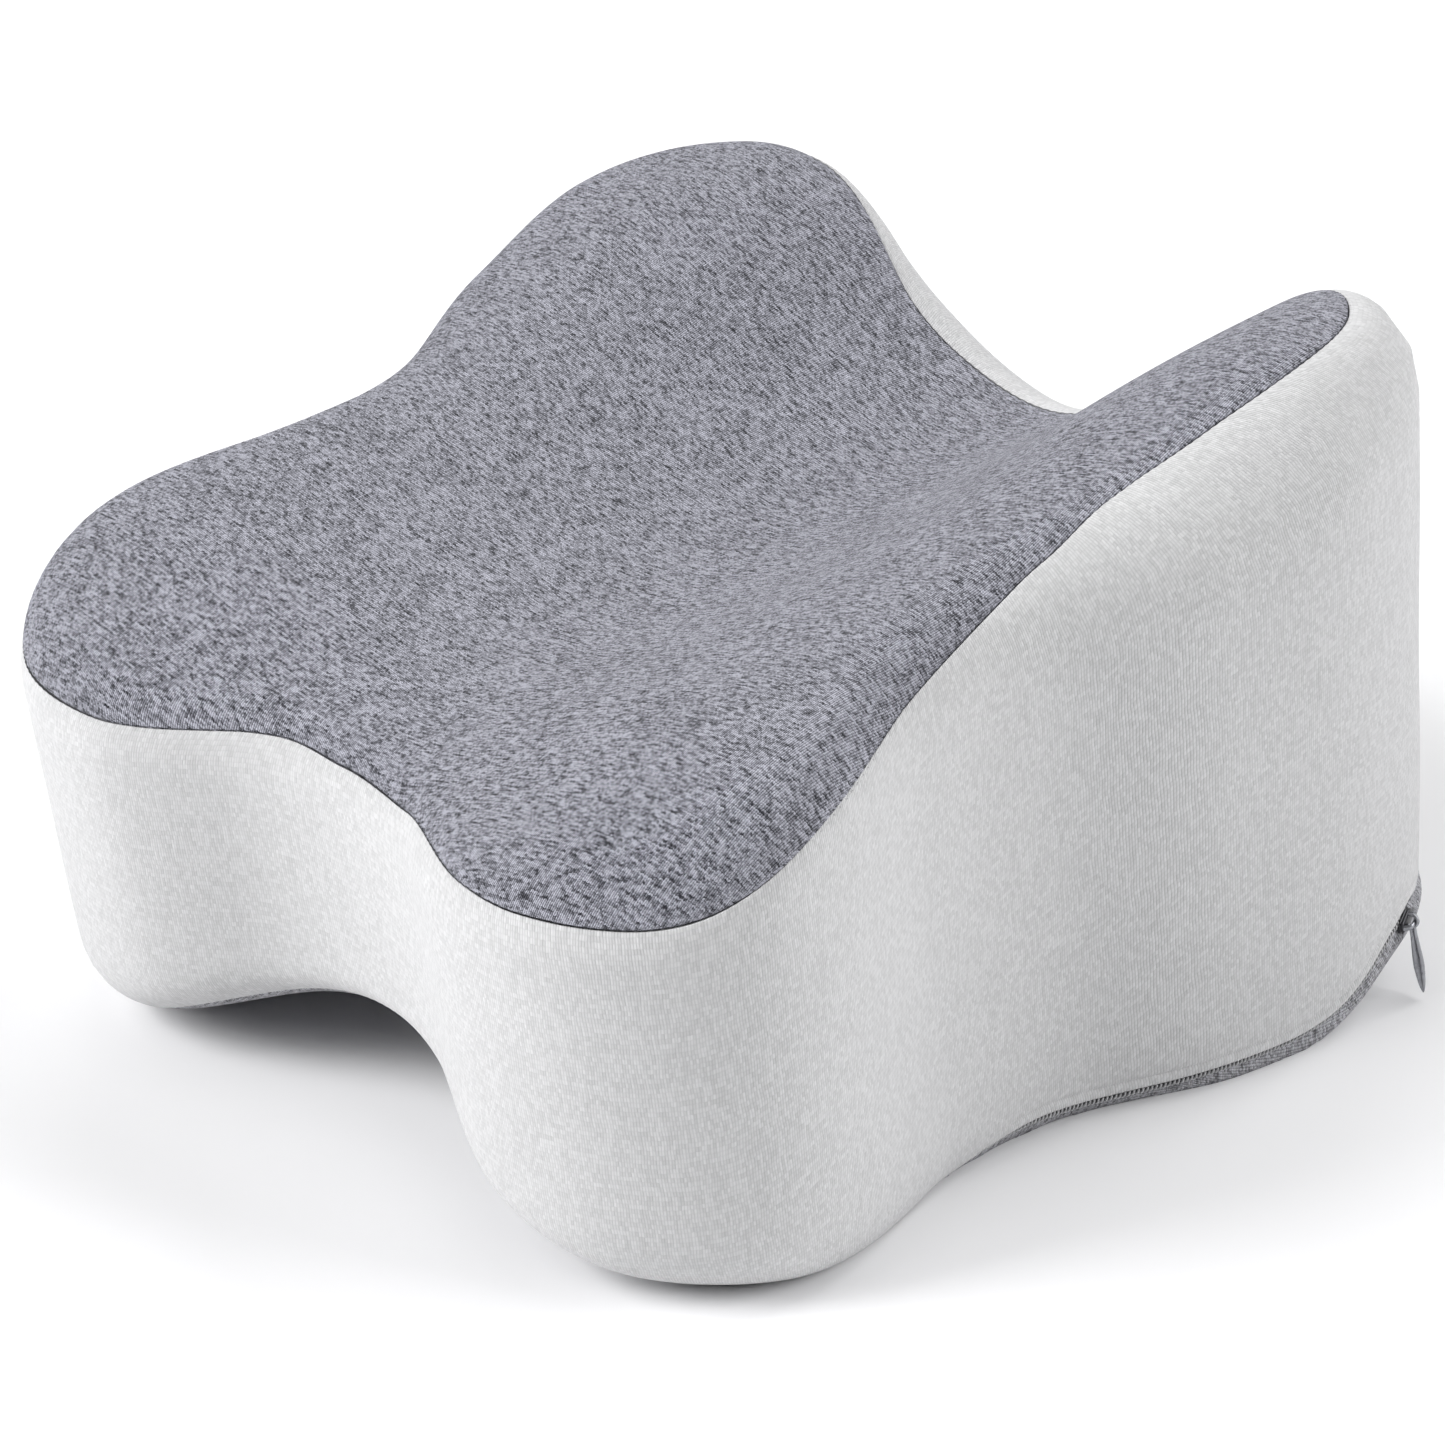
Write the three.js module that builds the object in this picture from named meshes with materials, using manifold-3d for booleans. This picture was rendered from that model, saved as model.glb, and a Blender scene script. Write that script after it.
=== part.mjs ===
// Contoured cervical pillow: a filled body with four lobes, a trough along its length on top and
// an arch below. A grey knit panel covers the top, a white knit band runs round the sides, and the
// grey bottom panel goes with the filling. A zip closes the lower seam of the right side.
//
// Millimetres, +Z up. The trough runs along Y: the thin end faces -Y, the thick end +Y.
// The origin is on the floor under the centre of the whole part.

import * as THREE from 'three';
import Module from 'manifold-3d';
import { mergeVertices } from 'three/addons/utils/BufferGeometryUtils.js';

// Driving dimensions, in millimetres and degrees.
const MIDDLE_TILT_DEG = 8;      // the middle plane of the pillow rises towards the thick end
const MIDDLE_HEIGHT = 67.5;     // height of that plane over the floor, at the pillow's centre
const RIDGE_OFFSET = 94;        // from the centre line of the trough to the top of a ridge
const FABRIC = 2;               // knit panel with its backing
const GAP = 0.3;                // between pieces that touch
const FLOOR_CLEARANCE = 0.5;    // the side band ends this far over the floor
const ANGLE_STEP_DEG = 5;       // between the sections round the pillow

// Plan outline. It is the same on both sides of the trough, so its rows run from the middle of
// the thin end (-90) over the side (0) to the middle of the thick end (90).
const OUTLINE = [
  { angle: -90, reach: 112 },
  { angle: -78, reach: 119.5 },
  { angle: -66, reach: 144.5 },
  { angle: -54, reach: 155 },
  { angle: -42, reach: 150 },
  { angle: -25, reach: 113 },
  { angle: -5, reach: 103 },
  { angle: 15, reach: 120.5 },
  { angle: 32, reach: 141 },
  { angle: 45, reach: 152.5 },
  { angle: 57, reach: 148 },
  { angle: 70, reach: 123 },
  { angle: 90, reach: 119 },
];

// Height of the upper surface over the middle plane, on the ridges and in the trough.
const UPPER = [
  { along: -120, ridge: 50, valley: 37 },
  { along: -85, ridge: 59.5, valley: 42.5 },
  { along: -50, ridge: 62.5, valley: 41 },
  { along: -10, ridge: 64.5, valley: 38.5 },
  { along: 30, ridge: 71, valley: 35.5 },
  { along: 70, ridge: 79.5, valley: 33 },
  { along: 115, ridge: 79.5, valley: 28 },
];

// Depth of the lower surface under the middle plane.
const LOWER = [
  { along: -115, ridge: 51, valley: 24.5 },
  { along: -60, ridge: 62.5, valley: 34 },
  { along: 0, ridge: 71, valley: 36.5 },
  { along: 60, ridge: 75, valley: 37.5 },
  { along: 115, ridge: 74.5, valley: 37.5 },
];

// Rounding of the upper and lower edges, and how far round from the wall each seam lies.
// A seam below zero lies on the wall, short of the rounding.
const EDGES = [
  { angle: -90, upperRound: 10, upperSeam: 7, lowerRound: 8, lowerSeam: 6 },
  { angle: -65, upperRound: 15, upperSeam: 9.5, lowerRound: 11, lowerSeam: 12 },
  { angle: -45, upperRound: 18, upperSeam: 5.5, lowerRound: 15, lowerSeam: 19 },
  { angle: -20, upperRound: 18, upperSeam: 11, lowerRound: 13, lowerSeam: 5 },
  { angle: 0, upperRound: 18, upperSeam: 19.5, lowerRound: 9, lowerSeam: 2 },
  { angle: 25, upperRound: 16, upperSeam: 30, lowerRound: 9, lowerSeam: 3 },
  { angle: 45, upperRound: 14, upperSeam: 21, lowerRound: 9, lowerSeam: -11 },
  { angle: 65, upperRound: 15, upperSeam: 14, lowerRound: 9, lowerSeam: -8 },
  { angle: 90, upperRound: 16, upperSeam: 14, lowerRound: 9, lowerSeam: -8 },
];

// Rows of points over each surface: round the edge, then on to the middle.
const TOP_ROWS = { edge: 4, inner: 6 };
const UNDERSIDE_ROWS = { edge: 5, inner: 4 };
const LEAST_EDGE = 5;           // the edge rows reach at least this far past the seam
const BAND_ROWS = { edge: 3, wall: 3 };
const BAND_EDGE_REACH = 10;     // the edge rows of the band start this far from the seam on the wall

// Zip in the lower seam of the right side.
const ZIP = {
  startAngle: -20,
  endAngle: 35,
  coilWidth: 1.8,
  coilDepth: 1.6,
  coilProud: 0.2,
  coilSides: 8,
};

// Slider, on the flat of the seam just past the coil.
const SLIDER = {
  angle: 37.5,
  length: 7.6,
  noseWidth: 5.6,
  noseRound: 1.9,
  tailWidth: 4,
  plate: 1.3,
  openingLength: 2.6,
  openingHeight: 1.9,
  barThickness: 0.9,
  crownWidth: 1.2,
  crownFoot: 1.1,
};

// Puller: a leaf with an eye round the slider's crown. Down the leaf from the eye's centre come
// the end of the neck, the shoulder where the sides turn down, the widest place and the foot.
const PULLER = {
  eyeOuter: 1.9,
  eyeInner: 1.1,
  neckWidth: 1.7,
  neckEnd: 2.8,
  shoulder: 6.9,
  widest: 11.5,
  roundStart: 14.8,
  foot: 18.1,
  leafWidth: 3.8,
  thickness: 1.2,
  leanDeg: 14,
};

// Straight steps for each curve of an outline.
const CURVE_STEPS = { slider: 4, puller: 7 };

const LOOKS = {
  grey: { color: '#8b8d97', roughness: 0.95, metalness: 0 },
  white: { color: '#dcdcde', roughness: 0.9, metalness: 0 },
  coil: { color: '#77797f', roughness: 0.6, metalness: 0 },
  metal: { color: '#8d9097', roughness: 0.4, metalness: 0.7 },
};

const wasm = await Module();
wasm.setup();

// Tables

// Value of a column at x: a cubic through the rows whose slope at a row comes from its neighbours.
function tableValue(rows, key, column, x) {
  const last = rows.length - 1;
  const held = THREE.MathUtils.clamp(x, rows[0][key], rows[last][key]);
  const slopeAt = (i) => {
    const before = rows[Math.max(i - 1, 0)];
    const after = rows[Math.min(i + 1, last)];
    return (after[column] - before[column]) / (after[key] - before[key]);
  };
  const next = rows.findIndex((row) => row[key] > held);
  const i = next < 0 ? last - 1 : next - 1;
  const span = rows[i + 1][key] - rows[i][key];
  const t = (held - rows[i][key]) / span;
  const start = rows[i][column] * (2 * t ** 3 - 3 * t ** 2 + 1);
  const end = rows[i + 1][column] * (3 * t ** 2 - 2 * t ** 3);
  const startSlope = slopeAt(i) * span * (t ** 3 - 2 * t ** 2 + t);
  const endSlope = slopeAt(i + 1) * span * (t ** 3 - t ** 2);
  const beyond = (x - held) * slopeAt(x < held ? 0 : last);
  return start + end + startSlope + endSlope + beyond;
}

// Rows by angle, with the neighbour of each end row mirrored past it.
function mirrored(rows) {
  const last = rows.length - 1;
  const before = { ...rows[1], angle: 2 * rows[0].angle - rows[1].angle };
  const after = { ...rows[last - 1], angle: 2 * rows[last].angle - rows[last - 1].angle };
  return [before, ...rows, after];
}

const OUTLINE_ROUND = mirrored(OUTLINE);
const EDGES_ROUND = mirrored(EDGES);

// Angle in the tables for a direction anywhere round the pillow.
function tableAngle(angle) {
  const direction = THREE.MathUtils.degToRad(angle);
  return THREE.MathUtils.radToDeg(Math.atan2(Math.sin(direction), Math.abs(Math.cos(direction))));
}

function edgeValue(column, angle) {
  return tableValue(EDGES_ROUND, 'angle', column, tableAngle(angle));
}

// Surface of the pillow

// Distance of the upper (side 1) or lower (side -1) surface from the middle plane.
function halfHeight(side, u, v) {
  const rows = side > 0 ? UPPER : LOWER;
  const ridge = tableValue(rows, 'along', 'ridge', v);
  const valley = tableValue(rows, 'along', 'valley', v);
  const across = Math.min(Math.abs(u) / RIDGE_OFFSET, 1);
  return valley + (ridge - valley) * (1 - Math.cos(Math.PI * across)) / 2;
}

// Point on a skin that lies inset from the outer surface. run is the distance from the wall
// round the edge and on over the surface, and is below zero on the wall itself.
function skinPoint(angle, side, run, inset) {
  const reach = tableValue(OUTLINE_ROUND, 'angle', 'reach', tableAngle(angle)) - inset;
  const outerRound = edgeValue(side > 0 ? 'upperRound' : 'lowerRound', angle);
  const round = outerRound - inset;
  const turn = THREE.MathUtils.clamp(run / outerRound, 0, Math.PI / 2);
  const beyond = Math.max(run - outerRound * Math.PI / 2, 0);
  const radius = Math.max(reach - round * (1 - Math.cos(turn)) - beyond, 0);
  const direction = THREE.MathUtils.degToRad(angle);
  const u = radius * Math.cos(direction);
  const v = radius * Math.sin(direction);
  const onWall = Math.min(run, 0);
  const w = side * (halfHeight(side, u, v) - inset - round * (1 - Math.sin(turn)) + onWall);
  return new THREE.Vector3(u, v, w);
}

// Pillow frame to the part's frame: tilted, raised, and kept over the floor.
function stand(point, floor) {
  const tilt = THREE.MathUtils.degToRad(MIDDLE_TILT_DEG);
  const turned = point.clone().applyAxisAngle(new THREE.Vector3(1, 0, 0), tilt);
  turned.z = Math.max(turned.z + MIDDLE_HEIGHT, floor);
  return turned;
}

// Runs from a seam round the edge and on to the middle of a surface, without the middle itself.
function runsInward(angle, side, seam, rows) {
  const reach = tableValue(OUTLINE_ROUND, 'angle', 'reach', tableAngle(angle));
  const round = edgeValue(side > 0 ? 'upperRound' : 'lowerRound', angle);
  const quarter = round * Math.PI / 2;
  const edgeEnd = Math.max(quarter, seam + LEAST_EDGE);
  const middle = reach - round + quarter;
  const runs = [];
  for (let row = 0; row < rows.edge; row += 1) {
    runs.push(THREE.MathUtils.lerp(seam, edgeEnd, row / rows.edge));
  }
  for (let row = 0; row < rows.inner; row += 1) {
    runs.push(THREE.MathUtils.lerp(edgeEnd, middle, row / rows.inner));
  }
  return runs;
}

function hasCoil(angle) {
  const position = angle > 180 ? angle - 360 : angle;
  return position >= ZIP.startAngle && position <= ZIP.endAngle;
}

// Lower edge of the side band: over the zip it stops short of the seam by the coil's width.
function bandLowerSeam(angle) {
  const seam = edgeValue('lowerSeam', angle) - GAP;
  return hasCoil(angle) ? seam - ZIP.coilWidth - GAP : seam;
}

// Points down the band from the upper seam to the lower one.
function bandColumn(angle, inset) {
  const upper = edgeValue('upperSeam', angle) - GAP;
  const lower = bandLowerSeam(angle);
  const upperStart = Math.min(0, upper - BAND_EDGE_REACH);
  const lowerStart = Math.min(0, lower - BAND_EDGE_REACH);
  const points = [];
  for (let row = 0; row <= BAND_ROWS.edge; row += 1) {
    const run = THREE.MathUtils.lerp(upper, upperStart, row / BAND_ROWS.edge);
    points.push(skinPoint(angle, 1, run, inset));
  }
  const wallTop = points[points.length - 1];
  const wallFoot = skinPoint(angle, -1, lowerStart, inset);
  for (let row = 1; row < BAND_ROWS.wall; row += 1) {
    points.push(wallTop.clone().lerp(wallFoot, row / BAND_ROWS.wall));
  }
  for (let row = 0; row <= BAND_ROWS.edge; row += 1) {
    const run = THREE.MathUtils.lerp(lowerStart, lower, row / BAND_ROWS.edge);
    points.push(skinPoint(angle, -1, run, inset));
  }
  return points;
}

// Points up the top panel from its seam, without its middle.
function topColumn(angle, inset) {
  const seam = edgeValue('upperSeam', angle);
  return runsInward(angle, 1, seam, TOP_ROWS).map((run) => skinPoint(angle, 1, run, inset));
}

// Meshes

const ANGLES = Array.from({ length: 360 / ANGLE_STEP_DEG }, (_, i) => i * ANGLE_STEP_DEG);

function meshFrom(points, triangles) {
  const geometry = new THREE.BufferGeometry();
  const positions = points.flatMap((point) => [point.x, point.y, point.z]);
  geometry.setAttribute('position', new THREE.Float32BufferAttribute(positions, 3));
  geometry.setIndex(triangles);
  return geometry;
}

// Two triangles of a cell between one column and the next. Both skins of a sheet and the body
// under them are split along the same diagonal, so rows that run back up split the other way.
function addCell(triangles, here, below, nextBelow, next, runsBack) {
  if (runsBack) {
    triangles.push(here, below, next);
    triangles.push(below, nextBelow, next);
  } else {
    triangles.push(here, below, nextBelow);
    triangles.push(here, nextBelow, next);
  }
}

// Body between two poles, from columns of points that run from the first pole to the last.
// Rows past turnRow run back up.
function poledGeometry(columns, firstPole, lastPole, turnRow) {
  const rows = columns[0].length;
  const points = [...columns.flat(), firstPole, lastPole];
  const first = points.length - 2;
  const last = points.length - 1;
  const triangles = [];
  columns.forEach((_, i) => {
    const here = i * rows;
    const next = ((i + 1) % columns.length) * rows;
    triangles.push(first, here, next);
    for (let row = 0; row < rows - 1; row += 1) {
      addCell(triangles, here + row, here + row + 1, next + row + 1, next + row, row >= turnRow);
    }
    triangles.push(here + rows - 1, last, next + rows - 1);
  });
  return meshFrom(points, triangles);
}

// Ring, from closed sections that go down outside and up inside.
function ringGeometry(sections) {
  const rows = sections[0].length;
  const triangles = [];
  sections.forEach((_, i) => {
    const here = i * rows;
    const next = ((i + 1) % sections.length) * rows;
    for (let row = 0; row < rows; row += 1) {
      const below = (row + 1) % rows;
      addCell(triangles, here + row, here + below, next + below, next + row, row >= rows / 2);
    }
  });
  return meshFrom(sections.flat(), triangles);
}

// Bar, from closed sections along it, with a flat cap at each end.
function barGeometry(sections) {
  const rows = sections[0].length;
  const lastStart = (sections.length - 1) * rows;
  const triangles = [];
  for (let i = 0; i < sections.length - 1; i += 1) {
    const here = i * rows;
    const next = here + rows;
    for (let row = 0; row < rows; row += 1) {
      const below = (row + 1) % rows;
      addCell(triangles, here + row, here + below, next + below, next + row, false);
    }
  }
  for (let row = 1; row < rows - 1; row += 1) {
    triangles.push(0, row + 1, row);
    triangles.push(lastStart, lastStart + row, lastStart + row + 1);
  }
  return meshFrom(sections.flat(), triangles);
}

// Filled body with its bottom panel

// Under the top panel and the band it lies inset by their thickness. At the lower seam it comes
// out to the pillow's own surface, and stands on the lobes where that surface meets the floor.
function filledBase() {
  const inset = FABRIC + GAP;
  const columns = ANGLES.map((angle) => {
    const covered = [...topColumn(angle, inset).reverse(), ...bandColumn(angle, inset)];
    const seam = edgeValue('lowerSeam', angle);
    const step = skinPoint(angle, -1, seam, inset);
    const underside = runsInward(angle, -1, seam, UNDERSIDE_ROWS)
      .map((run) => skinPoint(angle, -1, run, 0));
    return [...covered, step, ...underside].map((point) => stand(point, 0));
  });
  const top = stand(new THREE.Vector3(0, 0, halfHeight(1, 0, 0) - inset), 0);
  const bottom = stand(new THREE.Vector3(0, 0, -halfHeight(-1, 0, 0)), 0);
  return poledGeometry(columns, top, bottom, Infinity);
}

// Top panel

function topPanel() {
  const columns = ANGLES.map((angle) => {
    const outside = topColumn(angle, 0).reverse();
    const inside = topColumn(angle, FABRIC);
    return [...outside, ...inside].map((point) => stand(point, FLOOR_CLEARANCE));
  });
  const outer = stand(new THREE.Vector3(0, 0, halfHeight(1, 0, 0)), 0);
  const inner = stand(new THREE.Vector3(0, 0, halfHeight(1, 0, 0) - FABRIC), 0);
  return poledGeometry(columns, outer, inner, TOP_ROWS.edge + TOP_ROWS.inner);
}

// Side band

function sideBand() {
  const sections = ANGLES.map((angle) => {
    const outside = bandColumn(angle, 0);
    const inside = bandColumn(angle, FABRIC).reverse();
    return [...outside, ...inside].map((point) => stand(point, FLOOR_CLEARANCE));
  });
  return ringGeometry(sections);
}

// Zip coil, in the slot between the band's lower edge and the seam

function zipCoil() {
  const sections = [];
  for (let angle = ZIP.startAngle; angle <= ZIP.endAngle; angle += ANGLE_STEP_DEG) {
    const middleRun = edgeValue('lowerSeam', angle) - GAP - ZIP.coilWidth / 2;
    const middleInset = ZIP.coilDepth / 2 - ZIP.coilProud;
    const section = Array.from({ length: ZIP.coilSides }, (_, side) => {
      const turn = (side / ZIP.coilSides) * 2 * Math.PI;
      const run = middleRun + (ZIP.coilWidth / 2) * Math.sin(turn);
      const inset = middleInset - (ZIP.coilDepth / 2) * Math.cos(turn);
      return stand(skinPoint(angle, -1, run, inset), FLOOR_CLEARANCE);
    });
    sections.push(section);
  }
  return barGeometry(sections);
}

// Slider and puller

// Frame on the seam at the slider: X along the zip, Y out of the pillow, Z up the band.
function sliderFrame() {
  const stationBefore = ZIP.endAngle;
  const stationAfter = ZIP.endAngle + ANGLE_STEP_DEG;
  const seamPoint = (angle, lift) => (
    stand(skinPoint(angle, -1, edgeValue('lowerSeam', angle) - lift, 0), 0)
  );
  const before = seamPoint(stationBefore, 0);
  const after = seamPoint(stationAfter, 0);
  const above = seamPoint(stationBefore, BAND_EDGE_REACH);
  const alongZip = after.clone().sub(before).normalize();
  const outward = alongZip.clone().cross(above.sub(before)).normalize();
  const upBand = alongZip.clone().cross(outward);
  const share = (SLIDER.angle - stationBefore) / ANGLE_STEP_DEG;
  const origin = before.lerp(after, share).addScaledVector(outward, GAP);
  const frame = new THREE.Matrix4().makeBasis(alongZip, outward, upBand);
  return { frame: frame.setPosition(origin), origin, alongZip, outward };
}

function toManifold(geometry) {
  const bare = geometry.clone();
  bare.deleteAttribute('normal');
  bare.deleteAttribute('uv');
  const welded = mergeVertices(bare);
  return new wasm.Manifold(new wasm.Mesh({
    numProp: 3,
    vertProperties: new Float32Array(welded.attributes.position.array),
    triVerts: new Uint32Array(welded.index.array),
  }));
}

function fromManifold(solid) {
  const mesh = solid.getMesh();
  const geometry = new THREE.BufferGeometry();
  geometry.setAttribute('position', new THREE.Float32BufferAttribute(mesh.vertProperties, 3));
  geometry.setIndex(Array.from(mesh.triVerts));
  return geometry;
}

// Plate over the coil, with a crown that leaves an opening for the puller's eye.
function sliderGeometry() {
  const half = SLIDER.length / 2;
  const roundStart = half - SLIDER.noseRound;
  const nose = SLIDER.noseWidth / 2;
  const outline = new THREE.Shape();
  outline.moveTo(-half, -SLIDER.tailWidth / 2);
  outline.lineTo(roundStart, -nose);
  outline.quadraticCurveTo(half, -nose, half, 0);
  outline.quadraticCurveTo(half, nose, roundStart, nose);
  outline.lineTo(-half, SLIDER.tailWidth / 2);
  outline.closePath();
  const plate = new THREE.ExtrudeGeometry(outline, {
    depth: SLIDER.plate,
    bevelEnabled: false,
    curveSegments: CURVE_STEPS.slider,
  });
  plate.rotateX(-Math.PI / 2);

  const foot = SLIDER.openingLength / 2 + SLIDER.crownFoot;
  const crownTop = SLIDER.plate + SLIDER.openingHeight + SLIDER.barThickness;
  const crown = new THREE.Shape();
  crown.moveTo(-foot - SLIDER.crownFoot / 2, SLIDER.plate / 2);
  crown.lineTo(foot + SLIDER.crownFoot / 2, SLIDER.plate / 2);
  crown.lineTo(foot, crownTop - SLIDER.crownFoot / 2);
  crown.lineTo(foot - SLIDER.crownFoot / 2, crownTop);
  crown.lineTo(-foot + SLIDER.crownFoot / 2, crownTop);
  crown.lineTo(-foot, crownTop - SLIDER.crownFoot / 2);
  crown.closePath();
  const opening = new THREE.Path();
  opening.moveTo(-SLIDER.openingLength / 2, SLIDER.plate);
  opening.lineTo(-SLIDER.openingLength / 2, SLIDER.plate + SLIDER.openingHeight);
  opening.lineTo(SLIDER.openingLength / 2, SLIDER.plate + SLIDER.openingHeight);
  opening.lineTo(SLIDER.openingLength / 2, SLIDER.plate);
  opening.closePath();
  crown.holes.push(opening);
  const arch = new THREE.ExtrudeGeometry(crown, { depth: SLIDER.crownWidth, bevelEnabled: false });
  arch.translate(0, 0, -SLIDER.crownWidth / 2);
  return fromManifold(toManifold(plate).add(toManifold(arch)));
}

// Leaf that hangs along -Z from its eye, flat in the plane across the zip.
function pullerGeometry() {
  const neckHalf = PULLER.neckWidth / 2;
  const leafHalf = PULLER.leafWidth / 2;
  const neckTop = Math.sqrt(PULLER.eyeOuter ** 2 - neckHalf ** 2);
  const neckAngle = Math.asin(neckHalf / PULLER.eyeOuter);
  const leaf = new THREE.Shape();
  leaf.absarc(0, 0, PULLER.eyeOuter, -Math.PI / 2 + neckAngle, 1.5 * Math.PI - neckAngle, false);
  leaf.bezierCurveTo(
    -neckHalf, -PULLER.neckEnd,
    -leafHalf, -PULLER.shoulder,
    -leafHalf, -PULLER.widest,
  );
  leaf.quadraticCurveTo(-leafHalf, -PULLER.roundStart, 0, -PULLER.foot);
  leaf.quadraticCurveTo(leafHalf, -PULLER.roundStart, leafHalf, -PULLER.widest);
  leaf.bezierCurveTo(
    leafHalf, -PULLER.shoulder,
    neckHalf, -PULLER.neckEnd,
    neckHalf, -neckTop,
  );
  const eye = new THREE.Path();
  eye.absarc(0, 0, PULLER.eyeInner, 0, 2 * Math.PI, true);
  leaf.holes.push(eye);
  const geometry = new THREE.ExtrudeGeometry(leaf, {
    depth: PULLER.thickness,
    bevelEnabled: false,
    curveSegments: CURVE_STEPS.puller,
  });
  return geometry.translate(0, 0, -PULLER.thickness / 2);
}

// Puller in its place: its eye round the crown's bar, its leaf hanging and leaning outward.
function hangPuller({ frame, alongZip, outward }) {
  const barHeight = SLIDER.plate + SLIDER.openingHeight + SLIDER.barThickness / 2;
  const eye = new THREE.Vector3(0, barHeight, 0).applyMatrix4(frame);
  const level = new THREE.Vector3(outward.x, outward.y, 0).normalize();
  const lean = THREE.MathUtils.degToRad(PULLER.leanDeg);
  const down = level.clone().multiplyScalar(Math.sin(lean));
  down.z = -Math.cos(lean);
  const up = down.negate();
  up.addScaledVector(alongZip, -up.dot(alongZip)).normalize();
  const across = up.clone().cross(alongZip);
  return new THREE.Matrix4().makeBasis(across, up, alongZip).setPosition(eye);
}

// The part

function named(name, geometry, look) {
  const mesh = new THREE.Mesh(geometry, new THREE.MeshStandardMaterial(look));
  mesh.name = name;
  return mesh;
}

const pillow = new THREE.Group();
pillow.add(
  named('filled_base', filledBase(), LOOKS.grey),
  named('top_panel', topPanel(), LOOKS.grey),
  named('side_band', sideBand(), LOOKS.white),
  named('zip_coil', zipCoil(), LOOKS.coil),
);

const slider = sliderFrame();
const sliderMesh = named('zip_slider', sliderGeometry(), LOOKS.metal);
sliderMesh.applyMatrix4(slider.frame);
const pullerMesh = named('zip_puller', pullerGeometry(), LOOKS.metal);
pullerMesh.applyMatrix4(hangPuller(slider));
pillow.add(sliderMesh, pullerMesh);

// Centre the whole part over the origin.
const bounds = new THREE.Box3().setFromObject(pillow);
const middle = bounds.getCenter(new THREE.Vector3());
pillow.position.set(-middle.x, -middle.y, 0);
pillow.updateMatrixWorld(true);

export default pillow;
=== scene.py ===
"""Contoured cervical pillow in its knit cover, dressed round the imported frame.

The pillow has a frame of its own: u runs across the trough, v along it towards the thick end and
w up. Its tables are in millimetres and degrees. Meshes, cloth maps and materials are in metres.
"""

from __future__ import annotations

import logging
import math
from dataclasses import dataclass, field, fields, replace
from enum import Enum
from typing import Any, Sequence

import bmesh
import bpy
import numpy as np
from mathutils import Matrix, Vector, noise


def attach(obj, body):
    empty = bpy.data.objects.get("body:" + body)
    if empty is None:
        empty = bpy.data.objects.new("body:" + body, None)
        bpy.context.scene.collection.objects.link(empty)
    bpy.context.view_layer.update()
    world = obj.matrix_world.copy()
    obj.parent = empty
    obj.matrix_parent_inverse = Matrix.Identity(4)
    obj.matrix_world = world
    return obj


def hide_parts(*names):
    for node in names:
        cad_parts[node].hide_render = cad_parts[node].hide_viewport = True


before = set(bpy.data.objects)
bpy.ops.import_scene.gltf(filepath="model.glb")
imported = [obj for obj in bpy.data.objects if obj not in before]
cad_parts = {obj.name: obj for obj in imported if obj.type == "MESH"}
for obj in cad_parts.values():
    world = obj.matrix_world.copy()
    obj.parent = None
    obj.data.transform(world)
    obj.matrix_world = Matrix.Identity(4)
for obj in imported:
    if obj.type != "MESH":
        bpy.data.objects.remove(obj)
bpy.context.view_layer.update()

MM = 0.001
BODY = "root"
PHOTO_SIDE = 1445

Array = np.ndarray

logging.basicConfig(level=logging.INFO, format="%(message)s")
log = logging.getLogger("pillow")


class Side(Enum):
    """The two surfaces of the pillow, and their sign along w."""

    UPPER = 1
    LOWER = -1


class Finish(Enum):
    """Material slot names that the finishes are labelled with."""

    GREY_KNIT = "grey_knit"
    WHITE_KNIT = "white_knit"
    COIL = "coil_plastic"
    METAL = "grey_metal"


@dataclass(frozen=True)
class OutlineRow:
    """Plan reach from the pillow's centre at one angle."""

    angle: float
    reach: float


@dataclass(frozen=True)
class HeightRow:
    """Distance of a surface from the middle plane, on the ridges and in the valley."""

    along: float
    ridge: float
    valley: float


@dataclass(frozen=True)
class EdgeRow:
    """Roundings of the edges, and how far round from the wall each seam lies."""

    angle: float
    upper_round: float
    upper_seam: float
    lower_round: float
    lower_seam: float


OUTLINE = (
    OutlineRow(-90, 112),
    OutlineRow(-78, 119.5),
    OutlineRow(-66, 144.5),
    OutlineRow(-54, 155),
    OutlineRow(-42, 150),
    OutlineRow(-25, 113),
    OutlineRow(-5, 103),
    OutlineRow(15, 120.5),
    OutlineRow(32, 141),
    OutlineRow(45, 152.5),
    OutlineRow(57, 148),
    OutlineRow(70, 130.5),
    OutlineRow(90, 129),
)

UPPER = (
    HeightRow(-120, 50, 37),
    HeightRow(-85, 59.5, 42.5),
    HeightRow(-50, 62.5, 41),
    HeightRow(-10, 64.5, 38.5),
    HeightRow(30, 71, 35.5),
    HeightRow(70, 79.5, 33),
    HeightRow(115, 79.5, 28),
)

LOWER = (
    HeightRow(-115, 51, 24.5),
    HeightRow(-60, 62.5, 34),
    HeightRow(0, 71, 36.5),
    HeightRow(60, 76, 37.5),
    HeightRow(115, 74.5, 37.5),
)

EDGES = (
    EdgeRow(-90, 10, 7.2, 8, 6),
    EdgeRow(-80, 13, 9, 9, 8),
    EdgeRow(-70, 14.5, 12.8, 12, 12),
    EdgeRow(-60, 15.5, 9.2, 15, 17),
    EdgeRow(-45, 18, 5.7, 20, 25),
    EdgeRow(-20, 19, 12.2, 13, 6.8),
    EdgeRow(0, 23, 23.5, 9, 4),
    EdgeRow(12, 26, 34.5, 9.5, 4.7),
    EdgeRow(25, 30, 40, 10, 5.4),
    EdgeRow(35, 26, 33.8, 14, 1),
    EdgeRow(45, 17, 24.6, 16, 1),
    EdgeRow(65, 17, 20, 14, -1),
    EdgeRow(90, 20, 31.5, 12, -5),
)

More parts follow.
